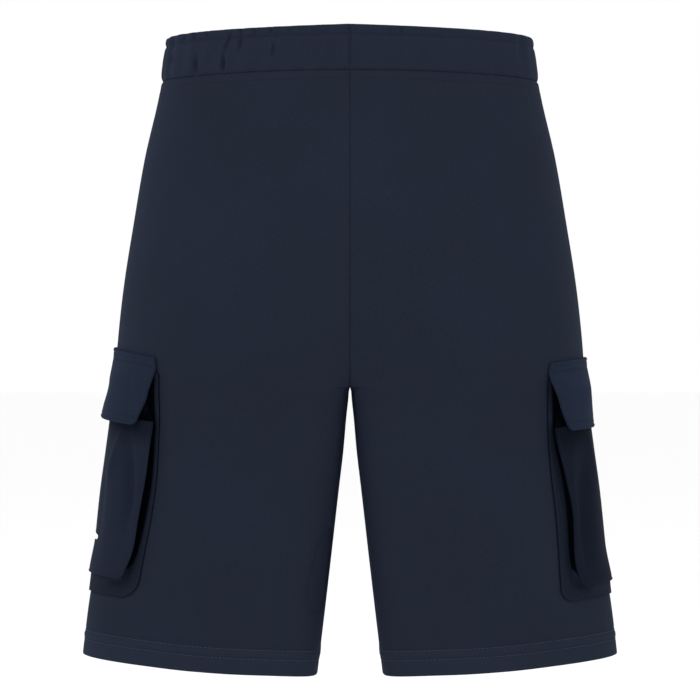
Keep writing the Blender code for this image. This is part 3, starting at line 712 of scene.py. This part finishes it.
# The creases that show at the back: at is across from the centre, the rest are shares of the
# band's height. Each is a narrow trough between two soft shoulders.
BACK_GATHERS = (
    Fold(-0.1405, 0.30, 0.58, 0.000, 0.0016, -0.0027),
    Fold(-0.1398, 0.62, 0.98, 0.004, 0.0016, -0.0027),
    Fold(-0.1300, 0.70, 1.10, 0.002, 0.0015, -0.0021),
    Fold(-0.1208, -0.05, 0.52, 0.001, 0.0018, -0.0045),
    Fold(-0.1215, 0.66, 1.10, 0.002, 0.0015, -0.0024),
    Fold(-0.1096, 0.20, 0.46, 0.000, 0.0028, -0.0027),
    Fold(-0.1110, 0.72, 1.10, -0.002, 0.0015, -0.0023),
    Fold(-0.0984, -0.08, 0.48, 0.002, 0.0018, -0.0048),
    Fold(-0.0950, 0.34, 1.00, 0.012, 0.0016, -0.0034),
    Fold(-0.0848, 0.46, 0.92, 0.003, 0.0018, -0.0032),
    Fold(-0.0845, 0.82, 1.12, 0.000, 0.0014, -0.0023),
    Fold(-0.0740, 0.70, 1.10, 0.000, 0.0015, -0.0021),
    Fold(-0.0592, 0.22, 0.72, 0.003, 0.0018, -0.0029),
    Fold(-0.0610, 0.76, 1.12, 0.000, 0.0015, -0.0023),
    Fold(-0.0470, 0.76, 1.12, 0.000, 0.0012, -0.0012),
    Fold(-0.0190, 0.40, 0.95, 0.000, 0.0060, 0.0004),
    Fold(0.0310, 0.70, 1.10, 0.000, 0.0012, -0.0012),
    Fold(0.0400, 0.66, 1.10, 0.000, 0.0012, -0.0014),
    Fold(0.0592, 0.10, 0.60, 0.000, 0.0016, -0.0009),
    Fold(0.0830, 0.70, 1.10, 0.000, 0.0014, -0.0008),
    Fold(0.1090, 0.72, 1.10, 0.000, 0.0014, -0.0008),
    Fold(0.1340, 0.30, 1.05, 0.006, 0.0030, -0.0015),
)
SHOULDERS = 0.35  # the shoulders' height over the trough's depth
SHOULDER_WIDTH = 2.6  # and their width over the trough's
BACK_SEAM_RIDGE = Dent(0.0030, 0.0012, 0.0004)


def gather_wave(turn):
    """The elastic's gathers round the waist, uneven in spacing and depth, from -1 to 1.

    turn goes from 0 at the centre back by the wearer's left side to 1. The gathers are
    deepest over the left back.
    """
    uneven = 0.55 * np.sin(2 * np.pi * 3 * turn + 0.4) + 0.35 * np.sin(2 * np.pi * 7 * turn)
    depth = 0.45 + 0.35 * np.cos(2 * np.pi * (turn - 0.12)) + 0.2 * np.sin(2 * np.pi * 5 * turn)
    return np.sin(2 * np.pi * GATHERS * turn + uneven) * np.clip(depth, 0.15, 1.0)


def band_place(turn, level, out, gathered):
    """Points of the band at a turn round the waist and a level, off the ring by out and its gathers."""
    side = np.where(turn <= 0.5, -1.0, 1.0)
    share = np.where(turn <= 0.5, 4 * turn - 1, 3 - 4 * turn)
    height = band_seam(share) + (band_top(share) - band_seam(share)) * level
    reach = reach_at(share, height)
    around = share * reach
    across = on_cloth(side, around, height)[..., 0]
    soft = [
        fold._replace(width=SHOULDER_WIDTH * fold.width, depth=-SHOULDERS * fold.depth)
        for fold in BACK_GATHERS
    ]
    creases = folded(BACK_GATHERS, across, level) + folded(soft, across, level)
    waves = GATHER_DEPTH * gather_wave(turn) + creases * (share < 0)
    to_seam = np.where(share < 0, reach - np.abs(around), 1.0)
    relief = waves + into_seam(to_seam) + dented(to_seam, BACK_SEAM_RIDGE)
    point = on_cloth(side, around, height, out + gathered * relief)
    point[..., 0] = np.where(share == -1, -side * SEAM_LAP, point[..., 0])
    return point


def closed_tube(name, loops, across, along, material):
    """A closed solid through a row of section loops of an even number of points, capped at each end."""
    count, size = loops.shape[:2]
    index = np.arange(count * size).reshape(count, size)
    after = np.roll(index, -1, axis=1)
    walls = np.stack([index[:-1], after[:-1], after[1:], index[1:]], axis=-1).reshape(-1, 4)
    point = np.arange(size // 2 - 1)
    cap = np.stack([point, point + 1, size - 2 - point, size - 1 - point], axis=-1)
    faces = np.concatenate([walls, cap[:, ::-1], cap + (count - 1) * size])
    across, along = [np.broadcast_to(v, loops.shape[:2]) for v in (across, along)]
    return cloth_object(name, loops, faces, across, along, material)


BAND_JERSEY = jersey("brushed_navy_band_jersey", "#1C212F", "#181C26", 0.04)
around_section = np.linspace(0, len(BAND_SECTION) - 1, BAND_POINTS)
band_level, band_out, band_gathered = [
    smooth_table(range(len(BAND_SECTION)), column, around_section) for column in zip(*BAND_SECTION)
]
band_turn = crowded(BAND_TURNS, 1.5, 1.5, 0.20)
band_loops = band_place(band_turn[:, None], band_level, band_out, band_gathered)
waist_length = 2 * float(reach_at(-1, 0.0) + reach_at(1, 0.0))
section_length = BAND_HEIGHT * np.concatenate([[0.0], np.cumsum(np.abs(np.diff(band_level)))])
waistband = closed_tube(
    "waistband_cloth", band_loops, waist_length * band_turn[:, None], section_length, BAND_JERSEY
)
stitch_turn = np.linspace(0.0008, 0.9992, 1600)
stitch_place = [band_place(stitch_turn, TUNNEL_STITCH, out, 0.5) for out in (0.0000, 0.0010)]
band_run = (stitch_place[0], (stitch_place[1] - stitch_place[0]) / 0.001)
band_sewing = stitching("waistband_stitching", [band_run], NAVY_THREAD)
dress("waistband", "band_jersey", waistband, band_sewing)


# ---------------------------------------------------------------------------------------
# Pockets' measures: each lies over a side seam. Down is measured from the flap's top edge
# at the side seam, square to the leg, and around from the side seam, back negative. corner
# is the round of the flange's lower corners.

LYING_GAP = 0.0006
Pocket = namedtuple("Pocket", "side top back_sag foot panel_foot corner flap_flare")
POCKETS = {
    "left": Pocket(-1, -0.2362, 0.042, 0.1935, 0.1790, 0.019, 0.0044),
    "right": Pocket(1, -0.2440, 0.016, 0.1880, 0.1780, 0.010, 0.0000),
}
SAG_FADES = 0.19
POCKET_LEAN = 0.0985  # a pocket climbs this much for each metre outwards

# Half the width of each pocket at some depths: out to the flange that is sewn to the leg, to
# the edge of the panel, which the bellows hold off the leg, and to where the strip beside
# the flange begins its painted shade of the fold
Width = namedtuple("Width", "down flange panel lit")
WIDTHS = {
    "left": (
        Width(0.020, 0.1115, 0.1100, 0.1080),
        Width(0.050, 0.1090, 0.1076, 0.1066),
        Width(0.063, 0.1076, 0.1052, 0.1053),
        Width(0.096, 0.1048, 0.0998, 0.1026),
        Width(0.129, 0.0996, 0.0932, 0.0966),
        Width(0.154, 0.0944, 0.0886, 0.0898),
        Width(0.179, 0.0900, 0.0790, 0.0790),
    ),
    "right": (
        Width(0.020, 0.1040, 0.1020, 0.1008),
        Width(0.050, 0.1012, 0.0996, 0.0978),
        Width(0.059, 0.1005, 0.0980, 0.0965),
        Width(0.091, 0.0970, 0.0892, 0.0882),
        Width(0.124, 0.0928, 0.0824, 0.0826),
        Width(0.155, 0.0908, 0.0816, 0.0806),
        Width(0.179, 0.0905, 0.0760, 0.0770),
    ),
}
PANEL_WALL = 0.0013
PANEL_MOUTH = 0.050  # the panel's top edge, under the flap
PANEL_CORNER = 0.004
PANEL_REST = 0.0006
PANEL_FOOT_REST = 0.0026
PANEL_LIFT = 0.0078  # how much more the bellows hold the panel off at its sides
LIFT_FROM = 0.014
LIFT_TO = 0.080
LIFT_FALLS = 0.2  # the share of it that is missing at the mouth and at the foot
MOUTH_HEIGHT = 0.030  # over which the mouth opens
FOOT_HEIGHT = 0.030


def pocket_level(pocket, around, down):
    """The height of a point of the pocket, square to the leg and with its sag at the back."""
    fading = np.clip(1 - down / SAG_FADES, -0.1, 1)
    straight = pocket.top - down + pocket.back_sag * np.minimum(around, 0) * fading
    level = straight
    for _ in range(2):
        x = np.abs(on_cloth(pocket.side, around, level)[..., 0])
        level = straight + POCKET_LEAN * (x - section_column("half_width", level))
    return level


def off_leg(pocket, around, down, out):
    """A point of the pocket, moved out from the leg."""
    return on_cloth(pocket.side, around, pocket_level(pocket, around, down), out)


def width_at(rows, name, down):
    """Half a pocket's width at any depth, from one column of its rows."""
    return column_at(rows, "down", name, down)


def panel_clearance(pocket, around, down):
    """How far the pocket panel's inside is from the leg: held off by the bellows at its sides."""
    foot = smooth_step(down, pocket.panel_foot - FOOT_HEIGHT, pocket.panel_foot)
    rest = PANEL_REST + (PANEL_FOOT_REST - PANEL_REST) * foot
    mouth = smooth_step(down, PANEL_MOUTH, PANEL_MOUTH + MOUTH_HEIGHT)
    lift = PANEL_LIFT * (1 - LIFT_FALLS + LIFT_FALLS * mouth - LIFT_FALLS * foot)
    return rest + lift * smooth_step(np.abs(around), LIFT_FROM, LIFT_TO)


def rounded_half(down, half, foot, corner):
    """Half the width of a shape whose lower corners are rounded."""
    into = np.clip(down - (foot - corner), 0.0, corner)
    return half - corner + np.sqrt(np.maximum(corner**2 - into**2, 0.0))


def u_path(widths, name, inset, foot, corner, start, counts=(90, 16, 40)):
    """A path down the back of a pocket, along its foot and up its front, round its corners.

    It runs inside one of the pocket's widths by an inset. counts are the points of a side, a
    corner and half the foot. Returns around and down.
    """
    side = np.linspace(start, foot - corner, counts[0])
    half = width_at(widths, name, side) - inset
    turn = np.linspace(0.0, np.pi / 2, counts[1] + 1)[1:]
    corner_around = half[-1] - corner + corner * np.cos(turn)
    corner_down = foot - corner + corner * np.sin(turn)
    along = np.linspace(half[-1] - corner, 0.0, counts[2] + 1)[1:]
    around = np.concatenate([half, corner_around, along])
    down = np.concatenate([side, corner_down, np.full(along.shape, foot)])
    return np.concatenate([-around, around[-2::-1]]), np.concatenate([down, down[-2::-1]])


def pocket_run(pocket, around, down, out):
    """A run for stitching on a pocket: its points and the outward normals there."""
    points = off_leg(pocket, around, down, out)
    return points, (off_leg(pocket, around, down, out + 0.001) - points) / 0.001


# ---------------------------------------------------------------------------------------
# Bellows gussets: one strip of jersey round three sides of each pocket. Its flange is
# edge-stitched to the leg from under the flap downwards. Below the panel's mouth the strip
# folds in under the panel and comes back out to its edge. The slot between them is dark
# partly from the fold's real hollow and partly from shade painted into the strip's colour.

GUSSET_WALL = 0.0010
GUSSET_TOP = 0.012
BELLOWS_FROM = 0.036
PANEL_OVERLAP = 0.0012
FOLD_INSET = 0.0130
FOLD_CORNER = 0.006
FLANGE_STITCH = 0.0016  # inside the flange's edge
FLANGE_STITCH_FROM = GUSSET_TOP + 0.002
FLANGE_THREAD_SINKS = 0.0001
FOLDS_FROM = 0.020  # inside the panel's edge, where the strip begins to fold
FOLDS_TO = 0.004
# The bellows' section from the flange in to the fold and back out to the panel's edge, and
# its share of the panel's clearance
FoldPoint = namedtuple("FoldPoint", "to_fold to_edge lift")
FOLD_SECTION = (
    FoldPoint(0.00, 0.00, 0.00),
    FoldPoint(0.50, 0.00, 0.00),
    FoldPoint(0.88, 0.00, 0.04),
    FoldPoint(1.00, 0.00, 0.42),
    FoldPoint(1.00, 0.12, 0.72),
    FoldPoint(1.00, 0.55, 0.90),
    FoldPoint(1.00, 1.00, 1.00),
)
GUSSET_POINTS = 31

FLANGE_SHOWN = 0.0030  # beyond it the strip is painted dark, as the shade inside the fold
UNDERSIDE = 0.0120  # its underside and cut edge sit this far along, so they are painted dark too
SLOT_CLOSES_OVER = 0.014  # up from the panel's foot, over which the slot's painted shade fades out

# Painted shade: past FLANGE_SHOWN the gusset strip is drawn at a tenth of its brightness, for the dark
# inside the bellows' fold
PAINTED_FOLD_SHADE = (FLANGE_SHOWN, 1.7 * FLANGE_SHOWN, 1.0, 0.10)
SHADE_TONES = (0.0580, 0.0740, 0.55, 1.0)  # down the panels, in the flap's shade
POCKET_JERSEY = jersey("brushed_navy_pocket_jersey", "#181D2A", "#131823", 0.03, SHADE_TONES)
GUSSET_JERSEY = jersey("brushed_navy_gusset_jersey", "#151A26", "#11151E", 0.02, PAINTED_FOLD_SHADE)


def gusset_cloth(hand, pocket):
    """The bellows strip as a thin closed tube along its U.

    Its section is flat under the flap, a fold at the sides and a plain slope at the foot.
    """
    widths = WIDTHS[hand]
    flange = u_path(widths, "flange", 0.0, pocket.foot, pocket.corner, GUSSET_TOP)
    fold = u_path(widths, "flange", FOLD_INSET, pocket.foot - FOLD_INSET, FOLD_CORNER, GUSSET_TOP)
    edge_foot = pocket.panel_foot - PANEL_OVERLAP
    edge = u_path(widths, "panel", PANEL_OVERLAP, edge_foot, PANEL_CORNER, GUSSET_TOP)
    rest = LYING_GAP + GUSSET_WALL / 2
    top = panel_clearance(pocket, *edge) - LYING_GAP - GUSSET_WALL / 2
    side_now = width_at(widths, "panel", edge[1])
    at_side = smooth_step(np.abs(edge[0]), side_now - FOLDS_FROM, side_now - FOLDS_TO)[:, None]
    open_now = smooth_step(edge[1], BELLOWS_FROM, PANEL_MOUTH)[:, None]

    slope = np.linspace(0.0, 1.0, GUSSET_POINTS)
    places = np.linspace(0, 1, len(FOLD_SECTION))
    to_fold, to_edge, lift = [smooth_table(places, column, slope) for column in zip(*FOLD_SECTION)]
    flange, fold, edge = [np.stack(path)[..., None] for path in (flange, fold, edge)]
    bent = flange + (fold - flange) * to_fold + (edge - fold) * to_edge
    flat = flange + (fold - flange) * slope
    plain = flange + (edge - flange) * slope
    around, down = plain + (flat + (bent - flat) * open_now - plain) * at_side
    rise = smooth_step(slope, 0.0, 1.0) * (1 - at_side) + lift * at_side * open_now
    out = rest + (top[:, None] - rest) * rise
    flange, fold = flange[..., 0], fold[..., 0]

    inward = np.stack([fold[0] - flange[0], fold[1] - flange[1]], axis=-1)
    inward /= np.linalg.norm(inward, axis=-1, keepdims=True)
    reach = (around - around[:, :1]) * inward[:, :1] + (down - down[:, :1]) * inward[:, 1:]
    tangent = np.stack([np.gradient(reach, axis=1), np.gradient(out, axis=1)], axis=-1)
    tangent /= np.maximum(np.linalg.norm(tangent, axis=-1, keepdims=True), 1e-9)

    def moved(by):
        shift = -tangent[..., 1] * by
        above = np.clip(out + tangent[..., 0] * by, LYING_GAP, None)
        return off_leg(pocket, around + shift * inward[:, :1], down + shift * inward[:, 1:], above)

    loops = np.concatenate([moved(GUSSET_WALL / 2), moved(-GUSSET_WALL / 2)[:, ::-1]], axis=1)
    steps = np.linalg.norm(np.diff(moved(0.0), axis=1), axis=-1)
    length = np.concatenate([np.zeros_like(steps[:, :1]), np.cumsum(steps, axis=1)], axis=1)
    # The strip's UV along its section places its painted shade: dark past FLANGE_SHOWN beyond the lit
    # strip, at the sides only, fading out near the panel's foot
    shown = width_at(widths, "flange", flange[1]) - width_at(widths, "lit", flange[1])
    closed = smooth_step(edge[1, :, 0], edge_foot - SLOT_CLOSES_OVER, edge_foot - PANEL_CORNER / 2)
    length = np.maximum(length - shown[:, None] + FLANGE_SHOWN, 0.0) * at_side * (1 - closed[:, None])
    path = np.concatenate([[0.0], np.cumsum(np.hypot(np.diff(flange[0]), np.diff(flange[1])))])
    strip = np.concatenate([length, np.full(length.shape, UNDERSIDE)], axis=1)
    name = "pocket_gusset_" + hand
    cloth = closed_tube(name + "_cloth", loops, path[:, None], strip, GUSSET_JERSEY)
    foot = pocket.foot - FLANGE_STITCH
    line = u_path(widths, "flange", FLANGE_STITCH, foot, pocket.corner, FLANGE_STITCH_FROM)
    run = pocket_run(pocket, *line, LYING_GAP + GUSSET_WALL - FLANGE_THREAD_SINKS)
    sewing = stitching(name + "_stitching", [run], NAVY_THREAD)
    dress(name, "pocket_jersey", cloth, sewing)


for hand, pocket in POCKETS.items():
    gusset_cloth(hand, pocket)


# ---------------------------------------------------------------------------------------
# Pocket panels: the pockets' faces, of the same jersey. Their edges are turned under and
# edge-stitched to the gussets. The backs sag into soft troughs between the side seam and
# the slot.

EDGE_STITCH = 0.0022  # inside the panel's edge
EDGE_STITCH_FROM = PANEL_MOUTH + 0.004
EDGE_RELIEF = 0.0003
TROUGHS_FADE = (0.001, 0.012)  # between these distances from the panel's edges
PANEL_ROWS = 130
PANEL_COLUMNS_ACROSS = 130
PANEL_FOLDS = {
    "left": (
        Fold(-0.0850, 0.052, 0.156, -0.02, 0.0056, -0.0056),
        Fold(-0.0675, 0.048, 0.112, 0.56, 0.0060, 0.0026),
        Fold(-0.0960, 0.060, 0.140, -0.12, 0.0040, 0.0012),
        Fold(-0.0420, 0.080, 0.170, 0.10, 0.0100, -0.0012),
        Fold(0.0640, 0.050, 0.140, 0.10, 0.0080, -0.0022),
        Fold(0.0860, 0.054, 0.150, -0.05, 0.0060, -0.0024),
        Fold(0.0400, 0.060, 0.150, -0.30, 0.0080, 0.0012),
    ),
    "right": (
        Fold(-0.0700, 0.052, 0.178, -0.06, 0.0110, -0.0050),
        Fold(-0.0850, 0.056, 0.110, -0.20, 0.0045, 0.0014),
        Fold(-0.0460, 0.050, 0.110, 0.30, 0.0080, 0.0010),
        Fold(0.0700, 0.060, 0.160, -0.05, 0.0090, -0.0026),
        Fold(0.0460, 0.045, 0.120, -0.30, 0.0080, 0.0012),
    ),
}


def sewn_edge(distance, wall, stitch):
    """A turned and stitched edge: round at the fold, a low ridge, and a dent at the stitches."""
    ridge = Dent(stitch * 0.5, stitch * 0.4, EDGE_RELIEF)
    return dented(distance, ridge, Dent(stitch, 0.0008, -EDGE_RELIEF)) - round_edge(distance, wall)


def panel_cloth(hand, pocket, material):
    """A pocket's face as a thin shell, open along its top edge under the flap."""
    foot = pocket.panel_foot
    down = PANEL_MOUTH + (foot - PANEL_MOUTH) * crowded(PANEL_ROWS, 2, 6, 0.03)
    side = width_at(WIDTHS[hand], "panel", down)
    half = rounded_half(down, side, foot, PANEL_CORNER)[:, None]
    around = half * (2 * crowded(PANEL_COLUMNS_ACROSS, 3, 3, 0.02) - 1)
    down = np.broadcast_to(down[:, None], around.shape)
    inside = np.minimum(half - np.abs(around), foot - down)
    inside = np.minimum(inside, 3 * (down - PANEL_MOUTH) + PANEL_WALL)
    clear = panel_clearance(pocket, around, down)
    away = smooth_step(inside, *TROUGHS_FADE)
    relief = folded(PANEL_FOLDS[hand], around, down) * away
    relief = np.maximum(relief, LYING_GAP - clear)
    face = clear + relief + PANEL_WALL + sewn_edge(inside, PANEL_WALL, EDGE_STITCH)
    outer = off_leg(pocket, around, down, face)
    inner = off_leg(pocket, around, down, clear + relief)
    name = "pocket_panel_" + hand
    cloth = shell(name + "_cloth", outer, inner, around, down, material)
    corner = PANEL_CORNER - EDGE_STITCH
    line = u_path(WIDTHS[hand], "panel", EDGE_STITCH, foot - EDGE_STITCH, corner, EDGE_STITCH_FROM)
    run = pocket_run(pocket, *line, panel_clearance(pocket, *line) + PANEL_WALL - THREAD_SINKS)
    sewing = stitching(name + "_stitching", [run], NAVY_THREAD)
    dress(name, "pocket_jersey", cloth, sewing)


# Painted shade: the right pocket's face is drawn in a darker navy than the left's, for the shade that
# falls on it
PAINTED_SHADE_JERSEY = jersey("brushed_navy_painted_shade_jersey", "#101521", "#0D111B", 0.01, SHADE_TONES)
panel_cloth("left", POCKETS["left"], POCKET_JERSEY)
panel_cloth("right", POCKETS["right"], PAINTED_SHADE_JERSEY)


# ---------------------------------------------------------------------------------------
# Flaps: two layers of jersey, sewn flat to the leg along the top and lying over each
# pocket's mouth. A row of stitches runs below the top seam and round the free edges.

FLAP_WALL = 0.0020
FLAP_LENGTH = 0.0558
FLAP_CORNER = 0.004
FLAP_RISES_BY = 0.027
FLAP_BACK_RISE = 0.0018  # its lower edge climbs to its back corner
FLAP_RISES_FROM = 0.005
FLAP_FOLDS_FADE = 0.006  # over this distance from its edges
FLAP_TOP_STITCH = 0.0076
FLAP_FOOT_STITCH = 0.0072
FLAP_SIDE_STITCH = 0.0030
FLAP_TOP_DENT = Dent(FLAP_TOP_STITCH, 0.0011, -0.0004)
FLAP_FOOT_DENT = Dent(FLAP_FOOT_STITCH, 0.0010, -0.0003)
FLAP_FOLDS = {
    "left": (
        Fold(-0.0880, 0.004, 0.055, -0.15, 0.0060, -0.0008),
        Fold(-0.0560, 0.010, 0.052, 0.10, 0.0140, 0.0007),
        Fold(0.0700, 0.010, 0.055, 0.10, 0.0110, -0.0007),
    ),
    "right": (
        Fold(-0.0760, 0.008, 0.055, 0.12, 0.0080, -0.0006),
        Fold(-0.0500, 0.012, 0.050, 0.00, 0.0140, 0.0006),
        Fold(0.0660, 0.010, 0.055, -0.10, 0.0110, -0.0007),
    ),
}
FlapWidth = namedtuple("FlapWidth", "down half")
FLAP_WIDTHS = {
    "left": (
        FlapWidth(0.000, 0.1075),
        FlapWidth(0.008, 0.1092),
        FlapWidth(0.021, 0.1086),
        FlapWidth(0.032, 0.1055),
        FlapWidth(0.042, 0.1010),
        FlapWidth(0.056, 0.0950),
    ),
    "right": (
        FlapWidth(0.000, 0.1012),
        FlapWidth(0.008, 0.1038),
        FlapWidth(0.020, 0.1028),
        FlapWidth(0.031, 0.0988),
        FlapWidth(0.048, 0.0902),
        FlapWidth(0.056, 0.0856),
    ),
}
FLAP_JERSEY = jersey("brushed_navy_flap_jersey", "#19202E", "#151B27", 0.04)


def flap_cloth(hand, pocket):
    """A flap as a thick shell, rising off the leg below its seam to pass over the panel."""
    down = FLAP_LENGTH * crowded(76, 4, 6, 0.05)

    def half_at(down):
        return width_at(FLAP_WIDTHS[hand], "half", down)

    half = rounded_half(down, half_at(down), FLAP_LENGTH, FLAP_CORNER)[:, None]
    share = 2 * crowded(150, 3, 3, 0.02) - 1
    around = half * share
    lift_to_back = 1 - FLAP_BACK_RISE / FLAP_LENGTH * np.minimum(share, 0.0) ** 2
    level = np.broadcast_to(down[:, None], around.shape)
    down = level * lift_to_back

    def clear_at(around, down):
        over_panel = panel_clearance(pocket, around, np.maximum(down, PANEL_MOUTH)) + PANEL_WALL
        flare = pocket.flap_flare * smooth_step(down, FLAP_RISES_BY, FLAP_LENGTH)
        lifted = smooth_step(down, FLAP_RISES_FROM, FLAP_RISES_BY)
        return LYING_GAP + (over_panel + flare) * lifted

    inside = np.minimum(np.minimum(half - np.abs(around), FLAP_LENGTH - level), level)
    clear = clear_at(around, down)
    relief = folded(FLAP_FOLDS[hand], around, down) * smooth_step(inside, 0.0, FLAP_FOLDS_FADE)
    relief = relief + dented(down, FLAP_TOP_DENT) + dented(FLAP_LENGTH - level, FLAP_FOOT_DENT)
    face = clear + relief + FLAP_WALL + sewn_edge(inside, FLAP_WALL, FLAP_SIDE_STITCH)
    outer = off_leg(pocket, around, down, face)
    inner = off_leg(pocket, around, down, clear)
    name = "pocket_flap_" + hand
    cloth = shell(name + "_cloth", outer, inner, around, down, FLAP_JERSEY)
    row = np.linspace(-1.0, 1.0, 200)
    thread_out = FLAP_WALL - THREAD_SINKS
    runs = []
    for level in (FLAP_TOP_STITCH, FLAP_LENGTH - FLAP_FOOT_STITCH):
        across = row * (half_at(level) - FLAP_SIDE_STITCH)
        level = level * (1 - FLAP_BACK_RISE / FLAP_LENGTH * np.minimum(row, 0.0) ** 2)
        runs.append(pocket_run(pocket, across, level, clear_at(across, level) + thread_out))
    side_down = np.linspace(FLAP_TOP_STITCH, FLAP_LENGTH - FLAP_FOOT_STITCH, 60)
    for end in (-1, 1):
        across = end * (half_at(side_down) - FLAP_SIDE_STITCH)
        runs.append(pocket_run(pocket, across, side_down, clear_at(across, side_down) + thread_out))
    sewing = stitching(name + "_stitching", runs, NAVY_THREAD)
    dress(name, "pocket_jersey", cloth, sewing)


for hand, pocket in POCKETS.items():
    flap_cloth(hand, pocket)


# ---------------------------------------------------------------------------------------
# Badge: a short plain bar of white satin stitch on the left pocket's face, threads side by
# side across it.

BADGE_LENGTH = 0.064
BADGE_DOWN = 0.1500
BADGE_THREAD = 0.0009
BADGE_HEIGHT = 0.0052
BADGE_STANDS_OFF = 0.0002
BADGE_ROUND = BADGE_LENGTH / 2 + 0.0008  # where its rounded ends would come to a point
BADGE_STITCH = Stitch(1.0, BADGE_HEIGHT, 0.0010, 0.0007)  # one thread to a run

WHITE_THREAD = thread("white_rayon_thread", "#F2F2F0")
badge_pocket = POCKETS["left"]
badge_at = np.linspace(-BADGE_LENGTH / 2, BADGE_LENGTH / 2, int(BADGE_LENGTH / BADGE_THREAD))
badge_runs = []
for at in badge_at:
    tall = BADGE_HEIGHT * (1 - (at / BADGE_ROUND) ** 2) ** 0.25
    across = np.full(5, at)
    level = BADGE_DOWN + np.linspace(-0.5, 0.5, 5) * tall
    lift = panel_clearance(badge_pocket, across, level) + folded(PANEL_FOLDS["left"], across, level)
    badge_runs.append(pocket_run(badge_pocket, across, level, lift + PANEL_WALL + BADGE_STANDS_OFF))
badge = stitching("pocket_badge_left", badge_runs, WHITE_THREAD, BADGE_STITCH)
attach(badge, "root")
